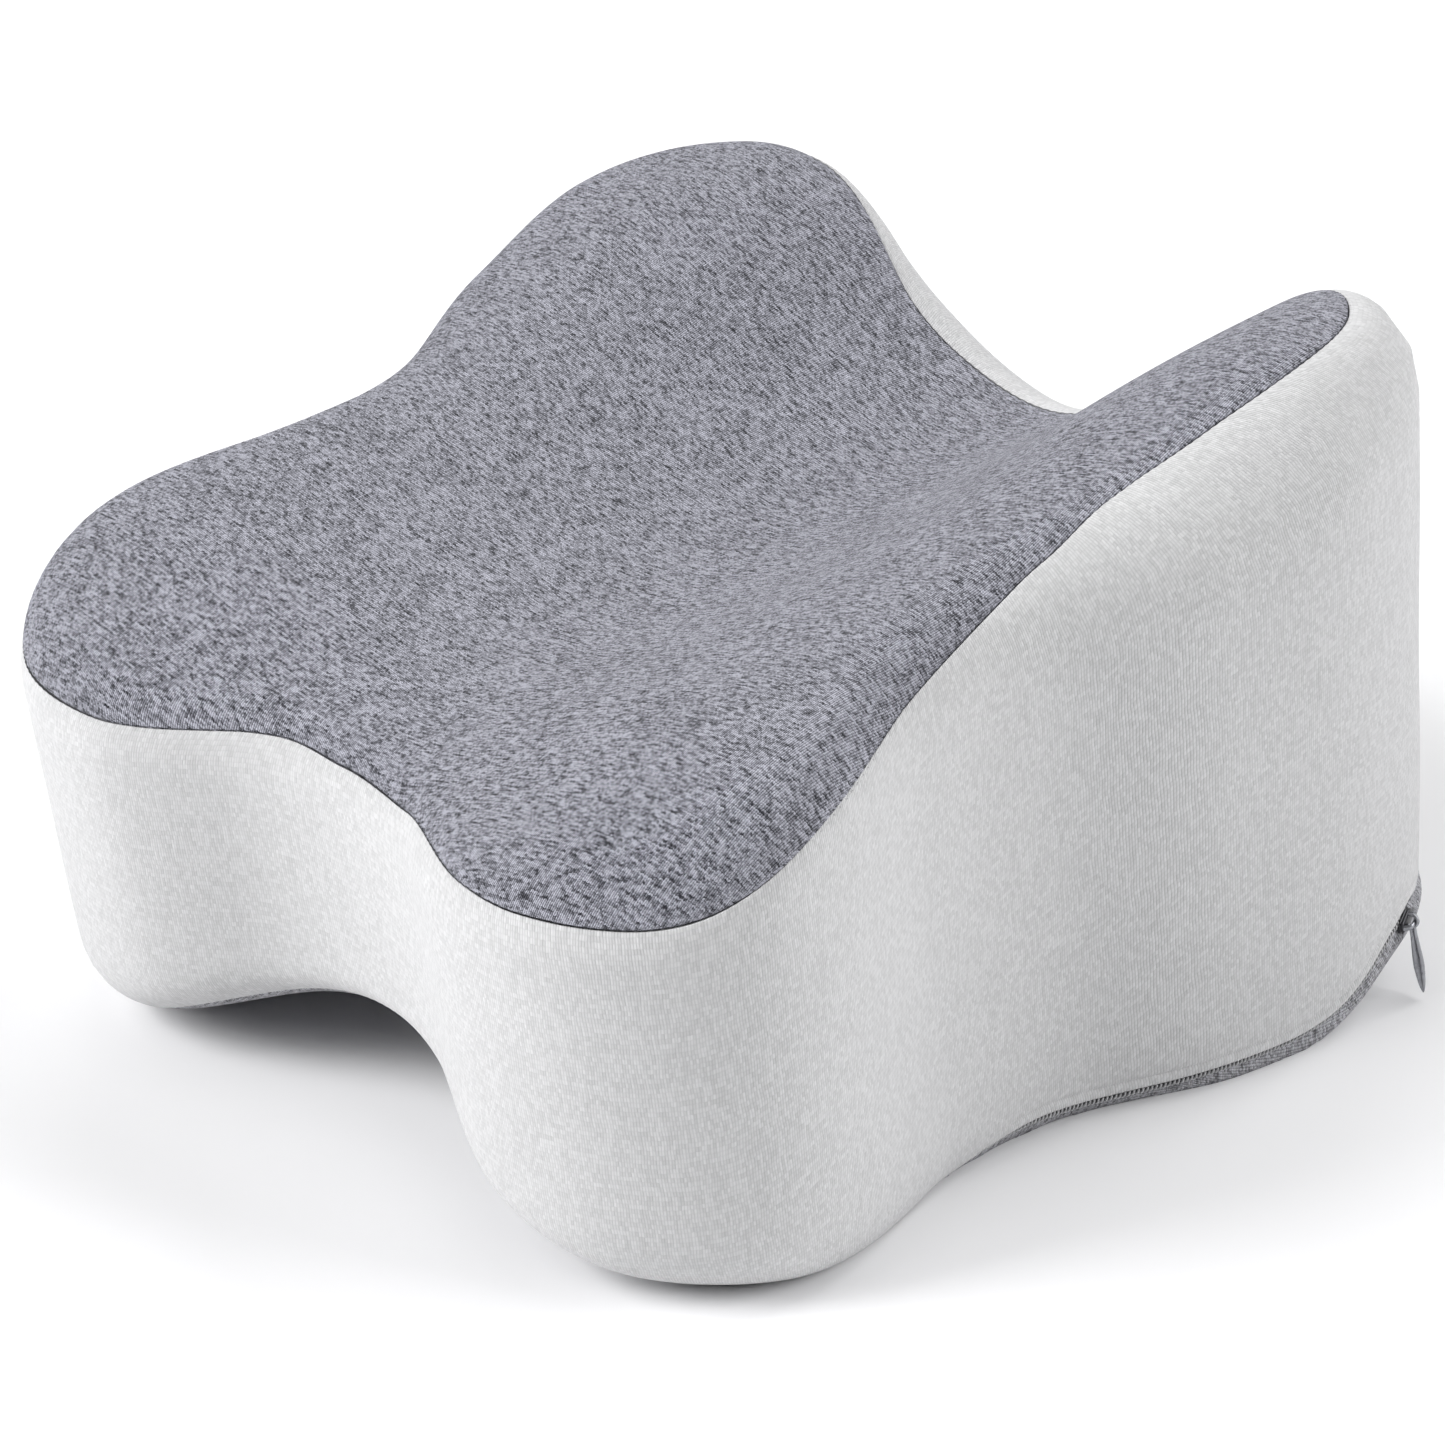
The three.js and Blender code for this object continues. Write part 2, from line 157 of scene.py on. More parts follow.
LEFT_TOP_EDGES = (
    EdgeRow(-90, 10, 7.2, 8, 6),
    EdgeRow(-80, 12.5, 10.6, 9, 8),
    EdgeRow(-65, 15, 9, 13, 14),
    EdgeRow(-45, 18, 5.5, 20, 25),
    EdgeRow(-20, 18, 10, 13, 7),
    EdgeRow(0, 18, 12, 9, 4.5),
    EdgeRow(25, 16, 12, 10, 6),
    EdgeRow(45, 14, 9, 20, 3),
    EdgeRow(60, 15, 17, 15, -2),
    EdgeRow(70, 16, 25.5, 14, -3),
    EdgeRow(80, 18, 28.8, 13, -4),
    EdgeRow(90, 20, 31.5, 12, -5),
)


class Table:
    """Rows joined by a smooth cubic whose slope at a row comes from its neighbours."""

    def __init__(self, rows: Sequence[Any], key: str, mirrored: bool = False) -> None:
        """Reads the rows into columns.

        Args:
            rows: Dataclass rows in rising order of the key.
            key: Name of the column that the table is read by.
            mirrored: Whether the neighbours of the end rows are repeated past them.
        """
        self.columns = {
            item.name: np.array([getattr(row, item.name) for row in rows], float)
            for item in fields(rows[0])
        }
        self.key = key
        if mirrored:
            keys = self.columns[key]
            before = 2 * keys[0] - keys[1]
            after = 2 * keys[-1] - keys[-2]
            self.columns = {
                name: np.concatenate([[column[1]], column, [column[-2]]])
                for name, column in self.columns.items()
            }
            self.columns[key][0] = before
            self.columns[key][-1] = after

    def value(self, column: str, x: Array) -> Array:
        """Value of a column.

        Args:
            column: Name of the column.
            x: Places on the key.

        Returns:
            The column's value at each place.
        """
        keys = self.columns[self.key]
        values = self.columns[column]
        slopes = (np.append(values[1:], values[-1]) - np.append(values[0], values[:-1])) / (
            np.append(keys[1:], keys[-1]) - np.append(keys[0], keys[:-1])
        )
        held = np.clip(x, keys[0], keys[-1])
        i = np.clip(np.searchsorted(keys, held, side="right") - 1, 0, len(keys) - 2)
        span = keys[i + 1] - keys[i]
        t = (held - keys[i]) / span
        start = values[i] * (2 * t**3 - 3 * t**2 + 1)
        end = values[i + 1] * (3 * t**2 - 2 * t**3)
        start_slope = slopes[i] * span * (t**3 - 2 * t**2 + t)
        end_slope = slopes[i + 1] * span * (t**3 - t**2)
        beyond = (x - held) * np.where(x < held, slopes[0], slopes[-1])
        return start + end + start_slope + end_slope + beyond


def smooth_step(x: Array, low: float, high: float) -> Array:
    """Rises smoothly from 0 at low to 1 at high."""
    t = np.clip((x - low) / (high - low), 0, 1)
    return t * t * (3 - 2 * t)


@dataclass
class PillowForm:
    """Outer surface of the pillow, in millimetres, and its place in the frame."""

    tilt_deg: float = 8.0
    middle_height: float = 67.5
    ridge_offset: float = 94.0
    centre: tuple[float, float] = (-2.2, 2.0)
    outline: Table = field(default_factory=lambda: Table(OUTLINE, "angle", mirrored=True))
    edges: Table = field(default_factory=lambda: Table(EDGES, "angle", mirrored=True))
    left_edges: Table = field(
        default_factory=lambda: Table(LEFT_TOP_EDGES, "angle", mirrored=True)
    )
    upper: Table = field(default_factory=lambda: Table(UPPER, "along"))
    lower: Table = field(default_factory=lambda: Table(LOWER, "along"))
    fine_places: int = 7201

    def table_angle(self, angle: Array) -> Array:
        """Angle in the tables for a direction anywhere round the pillow."""
        direction = np.radians(angle)
        return np.degrees(np.arctan2(np.sin(direction), np.abs(np.cos(direction))))

    def reach(self, angle: Array) -> Array:
        """Plan distance of the wall from the centre."""
        return self.outline.value("reach", self.table_angle(angle))

    def edge(self, column: str, angle: Array) -> Array:
        """Value of an edge column at an angle round the pillow.

        Args:
            column: Name of the column.
            angle: Directions round the pillow, in degrees.

        Returns:
            The value in each direction.
        """
        held = self.table_angle(angle)
        on_left = np.cos(np.radians(angle)) < 0
        left = self.left_edges.value(column, held)
        return np.where(on_left, left, self.edges.value(column, held))

    def half_height(self, side: Side, u: Array, v: Array) -> Array:
        """Distance of the upper or lower surface from the middle plane.

        Args:
            side: The surface.
            u: Places across the trough, in millimetres.
            v: Places along it, in millimetres.

        Returns:
            The distance at each place, in millimetres.
        """
        table = self.upper if side is Side.UPPER else self.lower
        ridge = table.value("ridge", v)
        valley = table.value("valley", v)
        across = np.minimum(np.abs(u) / self.ridge_offset, 1)
        return valley + (ridge - valley) * (1 - np.cos(np.pi * across)) / 2

    def rounding(self, side: Side, angle: Array) -> Array:
        """Radius of the edge between the wall and a surface."""
        return self.edge("upper_round" if side is Side.UPPER else "lower_round", angle)

    def skin(self, angle: Array, side: Side, run: Array, inset: Array | float = 0.0) -> Array:
        """Points on a skin that lies inset from the outer surface.

        Args:
            angle: Directions round the pillow, in degrees.
            side: Surface that the run goes on to.
            run: Distance from the wall over the edge and the surface, below zero on the wall.
            inset: Depth under the outer surface.

        Returns:
            Points in the pillow's frame, one row each.
        """
        outer_round = self.rounding(side, angle)
        reach = self.reach(angle) - inset
        inner_round = outer_round - inset
        turn = np.clip(run / outer_round, 0, np.pi / 2)
        beyond = np.maximum(run - outer_round * np.pi / 2, 0)
        radius = np.maximum(reach - inner_round * (1 - np.cos(turn)) - beyond, 0)
        direction = np.radians(angle)
        u = radius * np.cos(direction)
        v = radius * np.sin(direction)
        on_wall = np.minimum(run, 0)
        rise = self.half_height(side, u, v) - inset - inner_round * (1 - np.sin(turn)) + on_wall
        return np.stack([u, v, side.value * rise], axis=-1)

    def middle_run(self, side: Side, angle: Array) -> Array:
        """Run at which a surface comes to the pillow's centre."""
        outer_round = self.rounding(side, angle)
        return self.reach(angle) - outer_round + outer_round * np.pi / 2

    def wall_drop(self, angle: Array) -> Array:
        """Height of the flat wall between its two edges.

        Args:
            angle: Directions round the pillow, in degrees.

        Returns:
            The height in each direction, in millimetres.
        """
        reach = self.reach(angle)
        direction = np.radians(angle)
        u = reach * np.cos(direction)
        v = reach * np.sin(direction)
        upper = self.half_height(Side.UPPER, u, v) - self.rounding(Side.UPPER, angle)
        lower = self.half_height(Side.LOWER, u, v) - self.rounding(Side.LOWER, angle)
        return upper + lower

    def place(self, points: Array, floor: float = 0.0) -> Array:
        """Pillow's frame to the row's frame.

        Args:
            points: Points in the pillow's frame, in millimetres.
            floor: Height under which no point goes, in millimetres.

        Returns:
            Points in metres, tilted, raised, centred and kept over the floor.
        """
        tilt = math.radians(self.tilt_deg)
        u, v, w = np.moveaxis(points, -1, 0)
        x = u + self.centre[0]
        y = v * math.cos(tilt) - w * math.sin(tilt) + self.centre[1]
        z = v * math.sin(tilt) + w * math.cos(tilt) + self.middle_height
        return np.stack([x, y, np.maximum(z, floor)], axis=-1) * MM

    def even_angles(self, count: int) -> Array:
        """Angles whose points lie evenly along the upper seam, starting at angle 0.

        Args:
            count: Number of angles.

        Returns:
            The angles, in degrees.
        """
        fine = np.linspace(0, 360, self.fine_places)
        seam = self.skin(fine, Side.UPPER, self.edge("upper_seam", fine))
        steps = np.linalg.norm(np.diff(seam, axis=0), axis=1)
        length = np.append(0, np.cumsum(steps))
        return np.interp(np.arange(count) / count * length[-1], length, fine)


def add_object(name: str, data: Any) -> bpy.types.Object:
    """Puts a mesh, a camera or a light in the scene.

    Args:
        name: Name of the object.
        data: The mesh, camera or light.

    Returns:
        The object.
    """
    item = bpy.data.objects.new(name, data)
    bpy.context.scene.collection.objects.link(item)
    return item


@dataclass
class Ring:
    """One closed row of points round the pillow, in metres."""

    points: Array
    cloth: Array
    lift: Array


@dataclass
class RingShell:
    """Closed shell from rings of points, whose counts differ by whole ratios."""

    floor: float = 0.0
    rings: list[Ring] = field(default_factory=list)
    faces: list[tuple[int, ...]] = field(default_factory=list)

    def add(self, points: Array, cloth: Array, lift: Array | None = None) -> None:
        """Adds a ring below the last one.

        Args:
            points: Places in metres.
            cloth: Place of each point on the flat cloth, in metres.
            lift: How far each point is moved out along the surface's normal, in metres.
        """
        self.rings.append(Ring(points, cloth, np.zeros(len(points)) if lift is None else lift))

    def join(self, above: int, above_count: int, below: int, below_count: int) -> None:
        """Faces between two rings.

        Args:
            above: Number of the upper ring's first point.
            above_count: Number of its points.
            below: Number of the lower ring's first point.
            below_count: Number of its points.
        """
        fine_below = below_count >= above_count
        coarse = min(above_count, below_count)
        ratio = max(above_count, below_count) // coarse
        half = (ratio + 1) // 2
        for i in range(coarse):
            nexti = (i + 1) % coarse
            if ratio == 1:
                self.faces.append((above + i, below + i, below + nexti, above + nexti))
                continue
            here, there = (above + i, above + nexti) if fine_below else (below + i, below + nexti)
            start = below if fine_below else above
            count = below_count if fine_below else above_count
            fine = [start + (i * ratio + k) % count for k in range(ratio + 1)]
            pairs = [(here, fine[k], fine[k + 1]) for k in range(half)]
            pairs.append((here, fine[half], there))
            pairs += [(there, fine[k], fine[k + 1]) for k in range(half, ratio)]
            self.faces += pairs if fine_below else [face[::-1] for face in pairs]

    def build(
        self,
        name: str,
        first_pole: Array | None = None,
        last_pole: Array | None = None,
        closed: bool = False,
        round_length: float = 0.0,
    ) -> bpy.types.Object:
        """Makes the mesh and lifts its points.

        Args:
            name: Name of the piece.
            first_pole: Point that closes the first ring, in metres.
            last_pole: Point that closes the last ring, in metres.
            closed: Whether the last ring joins the first one.
            round_length: Length of the cloth once round, where its map starts again.

        Returns:
            The piece, shaded smooth, with a cloth map.
        """
        points = np.concatenate([ring.points for ring in self.rings])
        cloth = np.concatenate([ring.cloth for ring in self.rings])
        lift = np.concatenate([ring.lift for ring in self.rings])
        counts = [len(ring.points) for ring in self.rings]
        starts = np.append(0, np.cumsum(counts)).tolist()
        for i in range(len(counts) - 1):
            self.join(starts[i], counts[i], starts[i + 1], counts[i + 1])
        if closed:
            self.join(starts[-2], counts[-1], 0, counts[0])
        for pole, ring, turned in ((first_pole, 0, False), (last_pole, len(counts) - 1, True)):
            if pole is None:
                continue
            tip = len(points)
            points = np.concatenate([points, [pole]])
            cloth = np.concatenate([cloth, [cloth[starts[ring] : starts[ring + 1]].mean(axis=0)]])
            lift = np.append(lift, 0)
            start, count = starts[ring], counts[ring]
            for i in range(count):
                face = (tip, start + i, start + (i + 1) % count)
                self.faces.append(face[::-1] if turned else face)
        mesh = bpy.data.meshes.new(name)
        mesh.from_pydata(points.tolist(), [], self.faces)
        mesh.update()
        normals = np.empty(len(points) * 3)
        mesh.vertices.foreach_get("normal", normals)
        lifted = points + normals.reshape(-1, 3) * lift[:, None]
        lifted[:, 2] = np.maximum(lifted[:, 2], self.floor)
        mesh.vertices.foreach_set("co", lifted.ravel())
        mesh.shade_smooth()
        self.map_cloth(mesh, cloth, round_length)
        mesh.update()
        return add_object(name, mesh)

    def map_cloth(self, mesh: bpy.types.Mesh, cloth: Array, round_length: float) -> None:
        """Writes the cloth map.

        Args:
            mesh: Mesh whose points are in the order of cloth.
            cloth: Place of each point on the flat cloth, in metres.
            round_length: Length once round, or 0 where the map never starts again.
        """
        corner_points = np.empty(len(mesh.loops), np.int32)
        mesh.loops.foreach_get("vertex_index", corner_points)
        corners = cloth[corner_points]
        if round_length:
            starts = np.empty(len(mesh.polygons), np.int32)
            mesh.polygons.foreach_get("loop_start", starts)
            sizes = np.diff(np.append(starts, len(corners)))
            low = np.repeat(np.minimum.reduceat(corners[:, 0], starts), sizes)
            high = np.repeat(np.maximum.reduceat(corners[:, 0], starts), sizes)
            wraps = (high - low > round_length / 2) & (corners[:, 0] < round_length / 2)
            corners[wraps, 0] += round_length
        layer = mesh.uv_layers.new(name="cloth")
        layer.data.foreach_set("uv", corners.ravel())


class NodeBuilder:
    """Adds nodes to a shader or geometry tree and joins them."""

    def __init__(self, tree: bpy.types.NodeTree) -> None:
        """Keeps the tree."""
        self.tree = tree

    def fill(self, node: bpy.types.Node, inputs: dict[Any, Any]) -> None:
        """Fills inputs of a node.

        Args:
            node: The node.
            inputs: Values or output sockets for its inputs, by name or number.
        """
        for name, value in inputs.items():
            if isinstance(value, bpy.types.NodeSocket):
                self.tree.links.new(value, node.inputs[name])
            else:
                node.inputs[name].default_value = value

    def add(
        self, kind: str, inputs: dict[Any, Any] | None = None, **settings: Any
    ) -> bpy.types.Node:
        """Adds a node.

        Args:
            kind: The node's type.
            inputs: Values or output sockets for its inputs, by name or number.
            settings: Its own properties.

        Returns:
            The node.
        """
        node = self.tree.nodes.new(kind)
        for name, value in settings.items():
            setattr(node, name, value)
        self.fill(node, inputs or {})
        return node

    def math(self, operation: str, *values: Any, clamp: bool = False) -> bpy.types.NodeSocket:
        """Result of a Math node."""
        inputs = dict(enumerate(values))
        return self.add("ShaderNodeMath", inputs, operation=operation, use_clamp=clamp).outputs[0]

    def vector_math(self, operation: str, inputs: dict[Any, Any]) -> bpy.types.NodeSocket:
        """Result of a Vector Math node."""
        return self.add("ShaderNodeVectorMath", inputs, operation=operation).outputs[0]

    def fold(self, value: Any) -> bpy.types.NodeSocket:
        """Folds 0 to 1 so that its middle becomes 0 and both ends 1."""
        return self.math("ABSOLUTE", self.math("MULTIPLY_ADD", value, 2.0, -1.0))

    def combine(self, x: Any, y: Any, z: Any = 0.0) -> bpy.types.NodeSocket:
        """Vector from three numbers."""
        return self.add("ShaderNodeCombineXYZ", {0: x, 1: y, 2: z}).outputs[0]

    def noise(self, vector: Any, scale: float, detail: float, rough: float = 0.5) -> Any:
        """Value of a noise texture."""
        inputs = {"Vector": vector, "Scale": scale, "Detail": detail, "Roughness": rough}
        return self.add("ShaderNodeTexNoise", inputs).outputs["Fac"]

    def mix_colour(self, factor: Any, first: Any, second: Any) -> Any:
        """Colour between two colours."""
        inputs = {0: factor, 6: (*first, 1), 7: (*second, 1)}
        return self.add("ShaderNodeMix", inputs, data_type="RGBA").outputs[2]

    def ramp(self, factor: Any, low: float, high: float) -> Any:
        """Factor stretched so that low becomes 0 and high becomes 1."""
        node = self.add("ShaderNodeMapRange", {0: factor, 1: low, 2: high, 3: 0.0, 4: 1.0})
        return node.outputs[0]


def new_material(name: str) -> tuple[bpy.types.Material, bpy.types.Node, NodeBuilder]:
    """New material, with its shader and a builder for its nodes.

    Args:
        name: Name of the material.

    Returns:
        The material, its shader and the builder.
    """
    material = bpy.data.materials.new(name)
    material.use_nodes = True
    tree = material.node_tree
    return material, tree.nodes["Principled BSDF"], NodeBuilder(tree)


GRAIN_RANGE = (0.3, 0.7)
WAVER_SCALE = 140.0
CLOUD_SCALE = 55.0
ROW_SHIFT = 7.31
STREAK_STRETCH = (0.7, 1.1)


def knit_group() -> bpy.types.ShaderNodeTree:
    """Knit stitches on the cloth map.

    Returns:
        A group whose inputs are the cloth's place, the pitches of wales and courses, the slant of
        the loops, the length of the flecks and the waver of the wales. It puts out the height of
        the loops, the shades of yarn, streaks and fibres, and slow unevenness of the cloth.
    """
    tree = bpy.data.node_groups.new("knit stitches", "ShaderNodeTree")
    faces = tree.interface
    faces.new_socket("Cloth", in_out="INPUT", socket_type="NodeSocketVector")
    for name, value in (
        ("Wale Pitch", 0.0009),
        ("Course Pitch", 0.0007),
        ("Slant", 0.7),
        ("Fleck Length", 0.0022),
        ("Waver", 0.0003),
    ):
        socket = faces.new_socket(name, in_out="INPUT", socket_type="NodeSocketFloat")
        socket.default_value = value
    for name in ("Height", "Yarn", "Streak", "Fibre", "Cloud"):
        faces.new_socket(name, in_out="OUTPUT", socket_type="NodeSocketFloat")
    build = NodeBuilder(tree)
    given = build.add("NodeGroupInput")
    result = build.add("NodeGroupOutput")
    place = given.outputs["Cloth"]
    waver = build.add(
        "ShaderNodeTexNoise", {"Vector": place, "Scale": WAVER_SCALE, "Detail": 1.0}
    ).outputs["Color"]
    centred = build.vector_math("SUBTRACT", {0: waver, 1: (0.5, 0.5, 0.5)})
    moved = build.vector_math("SCALE", {0: centred, "Scale": given.outputs["Waver"]})
    parts = build.add("ShaderNodeSeparateXYZ", {0: build.vector_math("ADD", {0: place, 1: moved})})
    wale = build.math("DIVIDE", parts.outputs[0], given.outputs["Wale Pitch"])
    fold = build.fold(build.math("FRACT", wale))
    leg = build.fold(fold)
    leg_height = build.math("SUBTRACT", 1.0, build.math("MULTIPLY", leg, leg))
    course = build.math("DIVIDE", parts.outputs[1], given.outputs["Course Pitch"])
    slanted = build.math("MULTIPLY_ADD", fold, given.outputs["Slant"], course)
    along = build.fold(build.math("FRACT", slanted))
    loop_height = build.math("SUBTRACT", 1.0, build.math("POWER", along, 3.0))
    height = build.math("MULTIPLY", leg_height, build.math("MULTIPLY_ADD", loop_height, 0.5, 0.5))
    row = build.math("FLOOR", slanted)
    along_yarn = build.math("DIVIDE", parts.outputs[0], given.outputs["Fleck Length"])
    yarn_place = build.combine(along_yarn, build.math("MULTIPLY", row, ROW_SHIFT))
    stretch, pack = STREAK_STRETCH
    streak_place = build.combine(
        build.math("MULTIPLY", along_yarn, stretch), build.math("MULTIPLY", slanted, pack)
    )
    half_wale = build.math("FLOOR", build.math("MULTIPLY", wale, 2.0))
    cell = build.add(
        "ShaderNodeTexWhiteNoise",
        {"Vector": build.combine(half_wale, row)},
        noise_dimensions="3D",
    )
    shades = {
        "Height": height,
        "Yarn": build.noise(yarn_place, 1.0, 1.0),
        "Streak": build.noise(streak_place, 1.0, 2.0),
        "Fibre": cell.outputs["Value"],
        "Cloud": build.noise(place, CLOUD_SCALE, 3.0),
    }
    build.fill(result, shades)
    return tree


@dataclass(frozen=True)
class KnitFinish:
    """Knit cloth whose yarn runs between a dark and a light shade."""

    name: str
    slot: Finish
    dark: tuple[float, float, float]
    light: tuple[float, float, float]
    wale_pitch: float
    course_pitch: float
    slant: float
    fleck_length: float
    yarn_share: float
    streak_share: float
    fibre_share: float
    groove_share: float
    cloud_share: float
    bump_height: float
    sheen: float
    roughness: float = 0.95
    specular: float = 0.2
    sheen_roughness: float = 0.6
    waver: float = 0.0003

    def material(self, knit: bpy.types.ShaderNodeTree) -> bpy.types.Material:
        """Makes the material.

        Args:
            knit: Group that draws the stitches.

        Returns:
            The material.
        """
        material, shader, build = new_material(self.name)
        stitches = build.add("ShaderNodeGroup", node_tree=knit)
        sizes = {
            "Cloth": build.add("ShaderNodeUVMap", uv_map="cloth").outputs[0],
            "Wale Pitch": self.wale_pitch,
            "Course Pitch": self.course_pitch,
            "Slant": self.slant,
            "Fleck Length": self.fleck_length,
            "Waver": self.waver,
        }
        build.fill(stitches, sizes)
        drawn = stitches.outputs
        shade: Any = 0.5
        # The loop height also darkens the colour where the loops dip: painted shade in the knit's
        # grooves, besides the bump.
        for value, share in (
            (build.ramp(drawn["Yarn"], *GRAIN_RANGE), self.yarn_share),
            (build.ramp(drawn["Streak"], *GRAIN_RANGE), self.streak_share),
            (drawn["Fibre"], self.fibre_share),
            (drawn["Height"], self.groove_share),
            (drawn["Cloud"], self.cloud_share),
        ):
            centred = build.math("SUBTRACT", value, 0.5)
            shade = build.math("MULTIPLY_ADD", centred, share, shade)
        shade = build.math("ADD", shade, 0.0, clamp=True)
        relief = {"Height": drawn["Height"], "Distance": self.bump_height, "Strength": 1.0}
        looks = {
            "Base Color": build.mix_colour(shade, self.dark, self.light),
            "Normal": build.add("ShaderNodeBump", relief).outputs[0],
            "Roughness": self.roughness,
            "Specular IOR Level": self.specular,
            "Sheen Weight": self.sheen,
            "Sheen Roughness": self.sheen_roughness,
        }
        build.fill(shader, looks)
        return material


@dataclass(frozen=True)
class PlainFinish:
    """Metal, thread or plastic with slight unevenness."""

    name: str
    slot: Finish
    colour: tuple[float, float, float]
    roughness: float
    metallic: float = 0.0
    grain_scale: float = 900.0
    grain_depth: float = 0.00003
    dark_share: float = 0.82
    light_share: float = 1.15
    roughness_spread: float = 0.2

    def material(self) -> bpy.types.Material:
        """Makes the material.

        Returns:
            The material.
        """
        material, shader, build = new_material(self.name)
        place = build.add("ShaderNodeTexCoord").outputs["Object"]
        grain = build.noise(place, self.grain_scale, 3.0)
        dark = tuple(channel * self.dark_share for channel in self.colour)
        light = tuple(min(channel * self.light_share, 1.0) for channel in self.colour)
        spread = self.roughness_spread
        relief = {"Height": grain, "Distance": self.grain_depth}
        looks = {
            "Base Color": build.mix_colour(build.ramp(grain, *GRAIN_RANGE), dark, light),
            "Roughness": build.math("MULTIPLY_ADD", grain, spread, self.roughness - spread / 2),
            "Normal": build.add("ShaderNodeBump", relief).outputs[0],
            "Metallic": self.metallic,
        }
        build.fill(shader, looks)
        return material


GREY_KNIT = KnitFinish(
    name="grey melange jersey",
    slot=Finish.GREY_KNIT,
    dark=(0.015, 0.016, 0.024),
    light=(0.475, 0.478, 0.55),
    wale_pitch=0.00095,
    course_pitch=0.0005,
    slant=0.4,
    fleck_length=0.0025,
    yarn_share=0.7,
    streak_share=0.7,
    fibre_share=0.65,
    groove_share=0.45,
    cloud_share=0.25,
    bump_height=0.00022,
    sheen=0.15,
)

# Lighter copy of the grey knit for the bottom panel: painted light that stands in for light
# reaching the shaded underside.
LIT_BOTTOM_KNIT = replace(
    GREY_KNIT,
    name="grey melange jersey, bottom",
    dark=(0.10, 0.10, 0.105),
    light=(0.55, 0.55, 0.59),
)

WHITE_KNIT = KnitFinish(
    name="white ribbed knit",
    slot=Finish.WHITE_KNIT,
    dark=(0.34, 0.34, 0.345),
    light=(0.77, 0.77, 0.777),
    wale_pitch=0.0012,
    course_pitch=0.0011,
    slant=0.12,
    fleck_length=0.0007,
    yarn_share=0.12,
    streak_share=0.0,
    fibre_share=0.24,
    groove_share=0.28,
    cloud_share=0.08,
    bump_height=0.00007,
    sheen=0.2,
    waver=0.0008,
)

THREAD = PlainFinish("white thread", Finish.WHITE_KNIT, (0.52, 0.52, 0.525), 0.8)
COIL_PLASTIC = PlainFinish("zip coil plastic", Finish.COIL, (0.50, 0.50, 0.51), 0.45)
# Near-black zip tape: painted shade that makes the dark dashes between the coil loops under the
# lip.
SHADE_DARK_TAPE = PlainFinish("zip tape weave", Finish.COIL, (0.06, 0.06, 0.063), 0.9)
PAINTED_METAL = PlainFinish(
    "grey painted metal", Finish.METAL, (0.34, 0.345, 0.37), 0.3, metallic=0.75
)
# Darker copy of the grey painted metal for the slider's plates: painted shade of the slider body.
SHADED_PLATE_METAL = PlainFinish(
    "dark grey painted metal", Finish.METAL, (0.06, 0.06, 0.066), 0.35, metallic=0.6
)


@dataclass
class SeamTouch:
    """How a seam shapes the cloth beside it, in millimetres."""

    roll: float = 0.5
    sink: float = 0.45
    sink_width: float = 3.0
    pinch: float = 0.18
    pinch_width: float = 1.2

    def lift(self, distance: Array, stitch: Array) -> Array:
        """Rise of the cloth near a seam.

        Args:
            distance: Distance from the seam, in millimetres.
            stitch: Place along the seam, in stitches.

        Returns:
            Rise in metres, below zero where the cloth is drawn in.
        """
        inside = np.clip(1 - distance / self.roll, 0, 1)
        roll = self.roll * (1 - np.sqrt(1 - inside**2))
        sink = self.sink * np.exp(-distance / self.sink_width)
        near = np.exp(-((distance / self.pinch_width) ** 2))
        pinch = self.pinch * near * (1 + np.cos(2 * np.pi * stitch)) / 2
        return -(roll + sink + pinch) * MM


@dataclass
class Weave:
    """Counts of points round the pillow, by how near a seam the ring lies."""

    stitches: int = 384
    per_stitch: int = 8

    def __post_init__(self) -> None:
        """Sets the finest count."""
        self.finest = self.stitches * self.per_stitch

    def pick(self, count: int) -> Array:
        """Numbers of the finest columns that a ring of count points has."""
        return np.arange(count) * (self.finest // count)


NEAR_SEAM = (
    0.0, 0.12, 0.3, 0.55, 0.9, 1.4, 2.0, 3.0, 4.2, 5.6, 7.5, 10.0, 13.0, 16.5, 20.5, 25.0, 30.0,
)
RING_COUNTS = ((1.6, 3072), (5.0, 1536), (26.0, 768))
SEAM_COLUMNS = {Side.UPPER: "upper_seam", Side.LOWER: "lower_seam"}
HEM_COUNT = 384
HIDDEN_COUNT = 192


def ring_count(distance: float) -> int:
    """Number of points of a ring at a distance from the seam, in millimetres.

    Args:
        distance: The distance.

    Returns:
        The number of points.
    """
    for limit, count in RING_COUNTS:
        if distance < limit:
            return count
    return HEM_COUNT


@dataclass(frozen=True)
class Waves:
    """Slow unevenness of a soft surface, in metres."""

    length: float
    height: float
    seed: float
    seed_shares: tuple[float, float, float] = (1.0, 0.7, 1.3)

    def rise(self, points: Array) -> Array:
        """Rise at each point.

        Args:
            points: Places in metres.

        Returns:
            The rise, in metres.
        """
        shift = Vector([self.seed * share for share in self.seed_shares])
        values = [noise.noise(Vector(point) / self.length + shift) for point in points.tolist()]
        return np.array(values) * self.height


